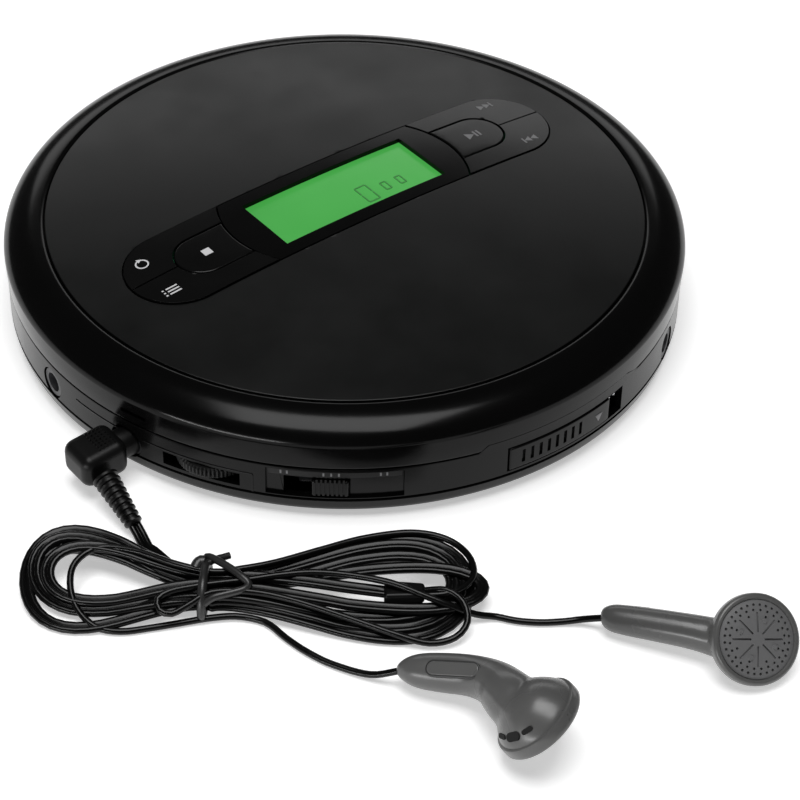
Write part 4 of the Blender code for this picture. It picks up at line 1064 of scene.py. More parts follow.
@dataclass
class Plug:
    """The right-angled plug with its tip and its ribbed relief."""

    length: float = 10.0
    width: float = 9.0
    height: float = 7.6
    relief_start: Point = (-75.5, -24.4, 6.4)
    relief_end: Point = (-76.0, -35.2, 2.2)
    relief_thick: float = 2.6
    relief_thin: float = 1.7
    ribs: int = 9

    def body(self) -> bpy.types.Object:
        """The rounded block, with the collar that meets the socket."""
        low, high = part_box("plug_body")
        inner = low.x + self.length * MM
        core = block(
            "plug_moulding",
            (low.x, low.y, low.z),
            (inner, low.y + self.width * MM, low.z + self.height * MM),
        )
        shift(core, lambda co: co.x < (low.x + inner) / 2 and co.z > low.z + 4 * MM, (0, 0, -0.7 * MM))
        bevel(core, 2.1 * MM, 6)
        middle = ((low.y + high.y) / 2, (low.z + high.z) / 2)
        collar = rod("plug_collar", (inner - 2 * MM, *middle), (high.x, *middle), 3.0 * MM, sides=40)
        boolean(core, collar, "UNION")
        return smooth(core, 50)

    def pad(self) -> bpy.types.Object:
        """The dotted grip on the plug's top."""
        low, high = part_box("plug_body")
        top = low.z + self.height * MM
        x, y = low.x + 0.62 * self.length * MM, (low.y + high.y) / 2
        dots = []
        first = rod("plug_dot", (0, 0, -0.3 * MM), (0, 0, 0.16 * MM), 0.26 * MM, 0.14 * MM, sides=8)
        for row in range(-2, 3):
            for column in range(-3, 4):
                dot = copied(first, "plug_dot_copy")
                dot.location = (x + row * 0.85 * MM, y + column * 0.85 * MM, top - 0.02 * MM)
                dots.append(settle(dot))
        bpy.data.objects.remove(first)
        return smooth(merged("plug_grip", dots), 30)

    def relief(self) -> bpy.types.Object:
        """The tapering sleeve with its ribs."""
        start, end = Vector(self.relief_start) * MM, Vector(self.relief_end) * MM
        span = (end - start).length
        rings: list[Ring] = [(0, 0)]
        for k in range(self.ribs):
            share = k / self.ribs
            radius = (self.relief_thick + (self.relief_thin - self.relief_thick) * share) * MM
            base = span * share
            pitch = span / self.ribs
            rings += [
                (radius * 0.80, base + pitch * 0.02),
                (radius * 0.98, base + pitch * 0.16),
                (radius, base + pitch * 0.36),
                (radius * 0.98, base + pitch * 0.56),
                (radius * 0.80, base + pitch * 0.70),
            ]
        rings += [(self.relief_thin * 0.72 * MM, span * 0.999), (0, span)]
        sleeve = lathe("relief_sleeve", rings, 40)
        return smooth(moved(sleeve, facing_frame(end - start, start)), 50)

    def tip(self) -> bpy.types.Object:
        """The metal tip, with its insulating rings and pointed end."""
        low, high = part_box("plug_tip")
        y, z = (low.y + high.y) / 2, (low.z + high.z) / 2
        long = high.x - low.x
        radius = (high.y - low.y) / 2
        rings: list[Ring] = [
            (0, 0),
            (radius, 0),
            (radius, long * 0.38),
            (radius * 0.9, long * 0.39),
            (radius * 0.9, long * 0.43),
            (radius, long * 0.44),
            (radius, long * 0.62),
            (radius * 0.9, long * 0.63),
            (radius * 0.9, long * 0.67),
            (radius, long * 0.68),
            (radius, long * 0.76),
            (radius * 0.72, long * 0.82),
            (radius, long * 0.89),
            (radius * 0.55, long * 0.985),
            (0, long),
        ]
        pin = lathe("plug_pin", rings, 32)
        frame_at = facing_frame(Vector((1, 0, 0)), Vector((low.x, y, z)))
        return smooth(moved(pin, frame_at), 30)

    def build(self) -> None:
        """Builds and dresses the plug."""
        dress(self.body(), PLUG, "case", "cord_jacket", "plug_body")
        dress(self.pad(), PLUG, "case", "cord_jacket")
        dress(self.relief(), PLUG, "case", "cord_jacket", "strain_relief")
        dress(self.tip(), GOLD, "case", "steel", "plug_tip")


@dataclass(frozen=True)
class BudPlace:
    """Where one earbud lies.

    Attributes:
        side: "left" or "right".
        spine: (x, y, z, radius) along the stem and neck, in millimetres.
        head: Middle of the front plate.
        facing: Direction that the front plate faces.
        pad: Two ends of the raised pad on the stem.
        vents: Degrees round the back of the head to the middle vent.
        spin: Degrees that the front plate's pattern is turned through.
        lean: Degrees that the stem's pad is rolled about the stem.
    """

    side: str
    spine: tuple[tuple[float, float, float, float], ...]
    head: Point
    facing: Point
    pad: tuple[Point, Point]
    vents: float = 190.0
    spin: float = 0.0
    lean: float = 0.0


@dataclass
class Earbud:
    """One earbud: sculpted housing, rim, perforated plate.

    Attributes:
        place: Where it lies.
        radius: Radius of its head.
        depth: Depth of its head.
        grille: Radius of its front plate.
        voxel: Size of the cells that blend stem and head.
        pad_width: Half the width of the oval on the stem.
        pad_depth: How far the oval reaches into the stem.
        vent_sizes: Half the length and width of each vent.
    """

    place: BudPlace
    radius: float = 8.2
    depth: float = 7.4
    grille: float = 7.0
    voxel: float = 0.28
    pad_width: float = 1.55
    pad_depth: float = 0.9
    vent_sizes: tuple[tuple[float, float], ...] = ((1.1, 0.45), (1.5, 0.8), (1.1, 0.45))

    def aim(self) -> Matrix:
        """The frame whose Z points out of the front plate."""
        return facing_frame(Vector(self.place.facing).normalized(), Vector(self.place.head) * MM)

    def stem(self) -> bpy.types.Object:
        """The stem and neck as one swelling tube."""
        curve = bpy.data.curves.new("stem", "CURVE")
        curve.dimensions = "3D"
        curve.bevel_depth = 1.0
        curve.bevel_resolution = 6
        curve.use_fill_caps = True
        curve.resolution_u = 8
        spline = curve.splines.new("NURBS")
        spline.points.add(len(self.place.spine) - 1)
        for point, (x, y, z, radius) in zip(spline.points, self.place.spine):
            point.co = (x * MM, y * MM, z * MM, 1)
            point.radius = radius * MM
        spline.use_endpoint_u = True
        spline.order_u = 3
        obj = bpy.data.objects.new("stem", curve)
        bpy.context.scene.collection.objects.link(obj)
        activate(obj)
        bpy.ops.object.convert(target="MESH")
        return bpy.context.object

    def shell(self) -> bpy.types.Object:
        """The back of the head."""
        wide, deep = self.radius, self.depth
        rings = [
            (0, -deep),
            (wide * 0.22, -deep * 0.985),
            (wide * 0.42, -deep * 0.93),
            (wide * 0.60, -deep * 0.80),
            (wide * 0.75, -deep * 0.62),
            (wide * 0.86, -deep * 0.45),
            (wide * 0.93, -deep * 0.33),
            (wide * 0.95, -deep * 0.22),
            (wide * 0.95, -0.1),
            (0, -0.05),
        ]
        return lathe("shell", [(r * MM, h * MM) for r, h in rings], 64)

    def housing(self) -> bpy.types.Object:
        """Stem, neck and shell blended into one moulding."""
        shell = moved(self.shell(), self.aim())
        whole = merged(f"{self.place.side}_housing", [shell, self.stem()])
        activate(whole)
        remesh = whole.modifiers.new("blend", "REMESH")
        remesh.mode = "VOXEL"
        remesh.voxel_size = self.voxel * MM
        bpy.ops.object.modifier_apply(modifier=remesh.name)
        soften = whole.modifiers.new("soften", "SMOOTH")
        soften.factor = 0.5
        soften.iterations = 34
        bpy.ops.object.modifier_apply(modifier=soften.name)
        bpy.ops.object.shade_smooth()
        return whole

    def rim(self) -> bpy.types.Object:
        """The thick rounded ring round the plate."""
        wide, hole = self.radius, self.grille
        rings = [
            (hole + 0.05, -0.7),
            (hole + 0.05, 0.10),
            (hole + 0.25, 0.42),
            (hole + 0.60, 0.50),
            (wide - 0.28, 0.34),
            (wide - 0.02, 0.0),
            (wide, -0.5),
            (wide, -1.5),
            (wide - 0.12, -1.95),
            (wide - 0.5, -2.1),
            (hole + 0.2, -2.1),
        ]
        ring = lathe(f"{self.place.side}_rim", [(r * MM, h * MM) for r, h in rings], 96, loop=True)
        return smooth(moved(ring, self.aim()), 40)

    def plate(self) -> bpy.types.Object:
        """The domed plate with its grooves and rings of small holes."""
        wide = self.grille
        rings = [(0, 0.72), (wide * 0.3, 0.69), (wide * 0.6, 0.56), (wide * 0.85, 0.32), (wide, 0.08)]
        rings += [(wide, -0.5), (0, -0.5)]
        plate = lathe(f"{self.place.side}_plate", [(r * MM, h * MM) for r, h in rings], 72)
        cutters = []
        for count, distance, radius, turn in (
            (32, 0.87, 0.26, 5.6),
            (24, 0.74, 0.24, 7.5),
            (8, 0.60, 0.24, 22.5),
        ):
            for k in range(count):
                foot = on_circle(distance * wide * MM, self.place.spin + turn + 360 * k / count, -0.2 * MM)
                cutters.append(rod("hole", foot, foot + Vector((0, 0, 1.2 * MM)), radius * MM, sides=10))
        for k in range(8):
            low, high = (0.18 * wide * MM, -0.17 * MM, 0.3 * MM), (0.68 * wide * MM, 0.17 * MM, 1.0 * MM)
            cutters.append(block("groove", low, high, turn=self.place.spin + 45 * k))
        boolean(plate, merged("holes", cutters))
        return smooth(moved(plate, self.aim()), 30)

    def dimples(self) -> bpy.types.Object:
        """Four shallow knobs on the plate's outer ring."""
        knobs = []
        for k in range(4):
            foot = on_circle(0.50 * self.grille * MM, self.place.spin + 67.5 + 90 * k, 0.52 * MM)
            knobs.append(rod("knob", foot, foot + Vector((0, 0, 0.34 * MM)), 0.55 * MM, 0.4 * MM, sides=20))
        return smooth(moved(merged(f"{self.place.side}_dimples", knobs), self.aim()), 30)

    def pad_frame(self) -> tuple[Matrix, float]:
        """Where the stem's oval lies, and half its length."""
        start, end = (Vector(p) * MM for p in self.place.pad)
        along = (end - start).normalized()
        across = Vector((0, 0, 1)).cross(along).normalized()
        up = along.cross(across)
        frame = Matrix((along, across, up)).transposed().to_4x4()
        return Matrix.Translation((start + end) / 2) @ frame, (end - start).length / 2

    def pad(self, name: str, inset: float, proud: float) -> bpy.types.Object:
        """One oval on the stem.

        Args:
            name: The end of the piece's name.
            inset: How much smaller it is than the whole oval, in millimetres.
            proud: Height of its top, in millimetres.

        Returns:
            The oval.
        """
        frame, half = self.pad_frame()
        length, width = half - inset * MM, (self.pad_width - inset) * MM
        name = f"{self.place.side}_{name}"
        oval = pill(name, length, width, -self.pad_depth * MM, proud * MM, (0, 0), 40)
        bevel(oval, 0.2 * MM, 3)
        return smooth(moved(oval, frame @ Matrix.Rotation(math.radians(self.place.lean), 4, "X")), 30)

    def vents(self) -> bpy.types.Object:
        """Three near-black slots on the back of the head: painted shade standing for the vent openings, which
        are not cut.
        """
        slots = []
        for k, (length, width) in zip((-1, 0, 1), self.vent_sizes):
            slot = pill("vent", length * MM, width * MM, -0.6 * MM, 0.22 * MM, (0, 0), 24)
            turn = self.place.vents + 27 * k
            place = on_circle(self.radius * 0.80 * MM, turn, -self.depth * 0.53 * MM)
            out = on_circle(1, turn, -1.05).normalized()
            slots.append(moved(slot, facing_frame(out, place)))
        return smooth(moved(merged(f"{self.place.side}_vents", slots), self.aim()), 30)

    def build(self) -> bpy.types.Object:
        """Builds and dresses the earbud.

        Returns:
            The housing, which the cord runs into.
        """
        side = self.place.side
        housing = dress(self.housing(), BUD, "case", "earbud_grey", f"{side}_earbud")
        dress(self.rim(), BUD, "case", "earbud_grey")
        dress(self.plate(), GRILLE, "case", "earbud_grille", f"{side}_grille")
        dress(self.dimples(), GRILLE, "case", "earbud_grille")
        dress(self.pad("pad_outline", 0.0, 0.0), BUD_DARK, "case", "earbud_grey")
        dress(self.pad("stem_pad", 0.32, 0.1), BUD, "case", "earbud_grey")
        # The vents are painted shade: near-black slots laid on the head in place of cut openings.
        dress(self.vents(), VENT_SHADE, "case", "earbud_grey")
        return housing


LEFT_BUD = BudPlace(
    side="left",
    spine=(
        (-60.4, -94.8, 3.4, 1.0),
        (-59.6, -95.5, 3.8, 2.1),
        (-57.9, -97.5, 4.3, 3.2),
        (-54.9, -101.1, 4.9, 3.6),
        (-51.9, -105.1, 5.8, 3.7),
        (-50.6, -110.0, 7.2, 4.1),
        (-51.4, -114.2, 8.0, 5.0),
        (-51.6, -118.0, 8.3, 5.0),
        (-51.0, -121.2, 8.0, 3.2),
    ),
    head=(-50.2, -121.5, 7.3),
    facing=(0.40, -0.55, -0.73),
    pad=((-58.3, -99.8, 7.4), (-52.8, -108.0, 10.15)),
    lean=31.0,
)
RIGHT_BUD = BudPlace(
    side="right",
    spine=(
        (-22.6, -106.4, 3.0, 1.6),
        (-22.0, -107.2, 3.3, 2.5),
        (-20.4, -109.6, 3.6, 2.8),
        (-17.3, -114.2, 4.2, 3.0),
        (-13.5, -120.0, 4.9, 3.2),
        (-11.2, -123.4, 4.9, 3.5),
        (-9.8, -125.6, 4.7, 3.7),
    ),
    head=(-7.8, -130.0, 7.65),
    facing=(-0.20, -0.62, 0.66),
    pad=((-18.4, -108.2, 3.6), (-15.0, -112.6, 4.2)),
    lean=-90.0,
    spin=-14.0,
)


@dataclass
class Earphones:
    """Everything that hangs from the headphone socket.

    Attributes:
        cords: The cords' sizes and routes.
        splitter: Middle of the block where the lead divides, in the hank's directions.
        splitter_size: Its length, width and height.
        tie: Radius of the tie's strip.
    """

    cords: Cords
    splitter: Point = (27.4, -0.9, 4.3)
    splitter_size: Point = (7.4, 4.4, 2.4)
    tie: float = 0.85

    def divider(self) -> bpy.types.Object:
        """The flat block where the lead divides."""
        half = Vector(self.splitter_size) * MM / 2
        core = block("lead_divider", -half, half)
        shift(core, lambda co: co.x > 0 and co.y > 0, (0, -0.5 * MM, 0))
        shift(core, lambda co: co.x > 0 and co.y < 0, (0, 0.5 * MM, 0))
        bevel(core, 0.7 * MM, 4)
        along, across, height = (v * MM for v in self.splitter)
        place = Matrix.Translation(self.cords.place(along, across, height))
        turn = Matrix.Rotation(math.radians(self.cords.angle), 4, "Z")
        return smooth(moved(core, place @ turn), 50)

    def tie_strips(self) -> bpy.types.Object:
        """The tie: a loop round the hank, a slanting strip, a knot and a tail."""
        at = self.cords.places
        loop = at(
            (
                (-8.7, 4.0, 5.9),
                (-8.8, 1.4, 6.7),
                (-8.9, -1.8, 6.5),
                (-9.0, -4.1, 5.0),
                (-9.1, -5.2, 2.6),
                (-9.0, -4.6, 1.05),
                (-8.8, 0.0, 1.0),
                (-8.6, 4.2, 1.05),
                (-8.5, 5.4, 2.6),
                (-8.6, 5.2, 4.4),
                (-8.7, 4.0, 5.9),
            )
        )
        slant = at(
            (
                (-9.4, 4.4, 5.6),
                (-8.6, 5.0, 6.5),
                (-6.8, 3.8, 6.9),
                (-4.0, 1.5, 7.1),
                (-1.7, -0.6, 7.0),
                (-0.7, -1.6, 6.6),
                (-1.3, -2.4, 6.0),
                (-4.0, -3.2, 5.6),
                (-6.8, -3.9, 5.2),
                (-8.6, -4.6, 4.2),
            )
        )
        tail = at(((-8.4, 3.6, 6.3), (-6.9, 4.7, 6.3), (-5.7, 5.4, 6.1), (-4.6, 6.0, 6.0)))
        knot = at(((-10.6, 2.6, 5.9), (-10.2, 3.4, 6.3), (-9.6, 3.9, 6.5), (-8.9, 3.8, 6.5)))
        strips = [
            tube("tie_loop", flowing(loop, 0.6 * MM), self.tie * MM, 4),
            tube("tie_slant", flowing(slant, 0.6 * MM), self.tie * MM * 0.85, 4),
            tube("tie_tail", flowing(tail, 0.6 * MM), self.tie * MM * 0.78, 4),
            tube("tie_knot", flowing(knot, 0.5 * MM), self.tie * MM * 1.3, 4),
        ]
        return merged("tie_strips", strips)

    def build(self) -> None:
        """Builds the whole set."""
        splitter = dress(self.divider(), PLUG, "case", "cord_jacket", "cord_splitter")
        left = Earbud(LEFT_BUD).build()
        right = Earbud(RIGHT_BUD).build()
        self.cords.build(splitter, left, right)
        dress(self.tie_strips(), TIE, "case", "cord_jacket", "twist_tie")
        Plug().build()


# ------------------------------------------------------------------ lid


@dataclass
class Dome:
    """The lid's domed top.

    Attributes:
        crown: Height at the middle.
        edge: Height at the rim.
        radius: Radius of the rim.
    """

    crown: float = 25.6
    edge: float = 22.3
    radius: float = 61.7

    def height(self, distance: float) -> float:
        """Height in millimetres at a distance in millimetres from the middle."""
        return self.edge + (self.crown - self.edge) * (1 - (distance / self.radius) ** 2)

    def drape(self, obj: bpy.types.Object, proud: float = 0.0) -> bpy.types.Object:
        """Lifts a piece drawn flat at height 0 onto the dome."""
        for vertex in obj.data.vertices:
            distance = vertex.co.xy.length / MM
            vertex.co.z += (self.height(distance) + proud) * MM
        obj.data.update()
        return obj


class Mark(Enum):
    """The generic symbols on the keys."""

    STOP = "stop"
    PLAY_PAUSE = "play_pause"
    NEXT = "next"
    PREVIOUS = "previous"
    REPEAT = "repeat"
    LIST = "list"


@dataclass
class Marks:
    """Flat printed symbols.

    Attributes:
        skin: Thickness of the print.
        size: Height of a symbol.
    """

    skin: float = 0.05
    size: float = 2.3

    def bar(self, x: float, y: float, wide: float, tall: float) -> bpy.types.Object:
        """A rectangle about a point, in millimetres."""
        low = (x - wide / 2, y - tall / 2, -0.05)
        high = (x + wide / 2, y + tall / 2, self.skin)
        return block("mark_bar", [v * MM for v in low], [v * MM for v in high])

    def arrow(self, x: float, y: float, tall: float, way: float) -> bpy.types.Object:
        """A triangle that points along X, with way 1 or -1."""
        deselect()
        bpy.ops.mesh.primitive_cylinder_add(
            vertices=3,
            radius=tall / math.sqrt(3) * MM,
            depth=(self.skin + 0.05) * MM,
            location=(x * MM, y * MM, (self.skin - 0.05) / 2 * MM),
            rotation=(0, 0, -way * math.pi / 2),
        )
        return named("mark_arrow")

    def ring(self, x: float, y: float, radius: float) -> bpy.types.Object:
        """A thin ring about a point."""
        inner, outer = (radius - 0.16) * MM, (radius + 0.16) * MM
        low, high = -0.05 * MM, self.skin * MM
        hoop = lathe("mark_ring", [(inner, low), (inner, high), (outer, high), (outer, low)], 40, loop=True)
        hoop.location = (x * MM, y * MM, 0)
        return settle(hoop)

    def draw(self, mark: Mark, x: float, y: float) -> bpy.types.Object:
        """Draws one symbol about a point.

        Args:
            mark: Which symbol.
            x: Its middle in X, in millimetres.
            y: Its middle in Y, in millimetres.

        Returns:
            The symbol, flat at height 0.
        """
        tall = self.size
        shapes = {
            Mark.STOP: lambda: [self.bar(x, y, 1.9, 1.9)],
            Mark.PLAY_PAUSE: lambda: [
                self.arrow(x - 0.9, y, tall, 1),
                self.bar(x + 0.75, y, 0.5, tall * 0.9),
                self.bar(x + 1.65, y, 0.5, tall * 0.9),
            ],
            Mark.NEXT: lambda: [
                self.arrow(x - 1.2, y, tall * 0.8, 1),
                self.arrow(x + 0.4, y, tall * 0.8, 1),
                self.bar(x + 1.6, y, 0.4, tall * 0.8),
            ],
            Mark.PREVIOUS: lambda: [
                self.arrow(x + 1.2, y, tall * 0.8, -1),
                self.arrow(x - 0.4, y, tall * 0.8, -1),
                self.bar(x - 1.6, y, 0.4, tall * 0.8),
            ],
            Mark.REPEAT: lambda: [self.ring(x, y, 1.25), self.arrow(x, y + 1.25, 1.2, 1)],
            Mark.LIST: lambda: [
                *(self.bar(x + 0.5, y + 0.85 * k, 2.6, 0.36) for k in (-1, 0, 1)),
                *(self.bar(x - 1.5, y + 0.85 * k, 0.4, 0.36) for k in (-1, 0, 1)),
            ],
        }
        return merged(f"mark_{mark.value}", shapes[mark]())


@dataclass
class Pod:
    """The long pod of display and keys set in the lid.

    Attributes:
        dome: The lid's dome, which it follows.
        marks: The symbols on its keys.
        centre: Its middle.
        length: Half its length.
        width: Half its width.
        inner_length: Half the length of the inner keys' outline.
        inner_width: Half their width.
        gap: Space round each key.
        proud: How far the keys stand above the lid.
        depth: Thickness of the keys.
        bulge: Half the display's length.
        bow: Radius of its round ends.
        underside: Height of the keys' undersides.
        glass: Half the size of its opening.
    """

    dome: Dome
    marks: Marks
    centre: tuple[float, float] = (0.6, 1.2)
    length: float = 52.2
    width: float = 11.3
    inner_length: float = 40.9
    inner_width: float = 5.7
    gap: float = 0.35
    proud: float = 0.25
    depth: float = 1.5
    bulge: float = 27.2
    bow: float = 20.7
    underside: float = 22.6
    glass: tuple[float, float] = (20.2, 7.8)

    def slab(self, name: str, length: float, width: float, deep: float) -> bpy.types.Object:
        """A round-ended slab about the pod's middle, its top at height 0."""
        x, y = self.centre
        return pill(name, length * MM, width * MM, -deep * MM, 0, (x * MM, y * MM), 96)

    def display_outline(self, name: str, gap: float, deep: float) -> bpy.types.Object:
        """The display's outline, flat above and below and bulging at both ends."""
        x, y = self.centre
        outline = self.slab(name, self.bulge + gap, self.bow + gap, deep)
        half = self.width - self.gap + gap
        low = ((x - 40) * MM, (y - half) * MM, -20 * MM)
        high = ((x + 40) * MM, (y + half) * MM, 20 * MM)
        return boolean(outline, block("trim", low, high), "INTERSECT")

    def tall(self, obj: bpy.types.Object, over: float) -> bpy.types.Object:
        """Raises the top of a cutter."""
        return shift(obj, lambda co: co.z > -0.1 * MM, (0, 0, over * MM))

    def curved(self, obj: bpy.types.Object, proud: float) -> bpy.types.Object:
        """Rounds a key's edges and lays it on the dome."""
        bevel(obj, 0.32 * MM, 3, 50)
        corners = [vertex.co for vertex in obj.data.vertices]
        low = (min(co.x for co in corners), min(co.y for co in corners))
        high = (max(co.x for co in corners), max(co.y for co in corners))
        graticule(obj, 2.2 * MM, low, high)
        self.dome.drape(obj, proud)
        for vertex in obj.data.vertices:
            vertex.co.z = max(vertex.co.z, self.underside * MM)
        return smooth(obj, 30)

    def side_key(self, name: str, side: int) -> bpy.types.Object:
        """The inner key at one end."""
        key = self.slab(name, self.inner_length, self.inner_width, self.depth)
        near, far = sorted((self.centre[0] + side * 15, self.centre[0] + side * 60))
        half = block("half", (near * MM, -30 * MM, -20 * MM), (far * MM, 30 * MM, 20 * MM))
        boolean(key, half, "INTERSECT")
        boolean(key, self.tall(self.display_outline("cut", self.gap, 9), 5))
        return self.curved(key, self.proud)

    def ring_key(self, name: str, side: int, up: int) -> bpy.types.Object:
        """A quarter of the ring round the inner keys."""
        x, y = self.centre
        key = self.slab(name, self.length - self.gap, self.width - self.gap, self.depth)
        near, far = sorted((x + side * 15, x + side * 60))
        below, over = sorted((y + up * self.gap / 2, y + up * 20))
        quarter = block("quarter", (near * MM, below * MM, -20 * MM), (far * MM, over * MM, 20 * MM))
        boolean(key, quarter, "INTERSECT")
        inner = self.slab("cut", self.inner_length + self.gap, self.inner_width + self.gap, 9)
        boolean(key, self.tall(inner, 5))
        boolean(key, self.tall(self.display_outline("cut", self.gap, 9), 5))
        return self.curved(key, self.proud)

    def bezel(self) -> bpy.types.Object:
        """The shiny frame round the display."""
        x, y = self.centre
        frame_piece = self.display_outline("display_bezel", 0, 1.7)
        wide, tall = self.glass
        low = ((x - wide) * MM, (y - tall) * MM, -5 * MM)
        high = ((x + wide) * MM, (y + tall) * MM, 5 * MM)
        boolean(frame_piece, block("opening", low, high))
        return self.curved(frame_piece, 0.05)

    def face(self) -> bpy.types.Object:
        """The lit face under the opening."""
        x, y = self.centre
        wide, tall = self.glass
        low = ((x - wide - 0.6) * MM, (y - tall - 0.6) * MM, -1.35 * MM)
        high = ((x + wide + 0.6) * MM, (y + tall + 0.6) * MM, -0.95 * MM)
        panel = block("display_face", low, high)
        graticule(panel, 3 * MM, low, high)
        return smooth(self.dome.drape(panel), 30)

    def segments(self) -> bpy.types.Object:
        """Faint seven-part figures on the face, all at nought."""
        x, y = self.centre
        bars = []
        for aside in (3.4, 8.2, 12.0):
            tall = 5.4 if aside < 4 else 2.6
            wide = tall * 0.5
            for across, along, size in (
                (0, tall / 2, (wide, 0.32)),
                (0, -tall / 2, (wide, 0.32)),
                (-wide / 2, tall / 4, (0.32, tall / 2.3)),
                (-wide / 2, -tall / 4, (0.32, tall / 2.3)),
                (wide / 2, tall / 4, (0.32, tall / 2.3)),
                (wide / 2, -tall / 4, (0.32, tall / 2.3)),
            ):
                place = (x + aside + across, y - 3.2 + along)
                bars.append(self.marks.bar(*place, *size))
        figures = merged("display_figures", bars)
        return self.dome.drape(figures, -0.93)

    def build(self) -> None:
        """Builds and dresses the pod."""
        dress(self.bezel(), GLOSS, "lid", "window_gloss", "display_window")
        dress(self.face(), lit_green(), "lid", "lcd_green", "lcd_module")
        dress(self.segments(), plain_glow("display_ink", (0.022, 0.150, 0.026), 0.4), "lid", "lcd_green")
        x, y = self.centre
        inner = (
            (-1, "stop_key", "stop_button", Mark.STOP, -34.2, 0.0, PRINT),
            (1, "play_pause_key", "play_pause_button", Mark.PLAY_PAUSE, 33.9, 0.0, DARK_PRINT),
        )
        for side, node, body, mark, aside, across, ink in inner:
            dress(self.side_key(f"{node}_cap", side), KEY, body, "key_gloss", node)
            symbol = self.dome.drape(self.marks.draw(mark, x + aside, y + across), self.proud)
            dress(symbol, ink, body, "key_gloss")
        ring = (
            (-1, 1, "play_mode_key", "play_mode_button", Mark.REPEAT, PRINT),
            (-1, -1, "preset_key", "preset_button", Mark.LIST, PRINT),
            (1, 1, "next_key", "next_button", Mark.NEXT, DARK_PRINT),
            (1, -1, "previous_key", "previous_button", Mark.PREVIOUS, DARK_PRINT),
        )
        for side, up, node, body, mark, ink in ring:
            dress(self.ring_key(f"{node}_cap", side, up), KEY, body, "key_gloss", node)
            place = (x + side * 46.2, y + up * 5.2) if side < 0 else (x + side * 43.5, y + up * 7.6)
            dress(self.dome.drape(self.marks.draw(mark, *place), self.proud), ink, body, "key_gloss")


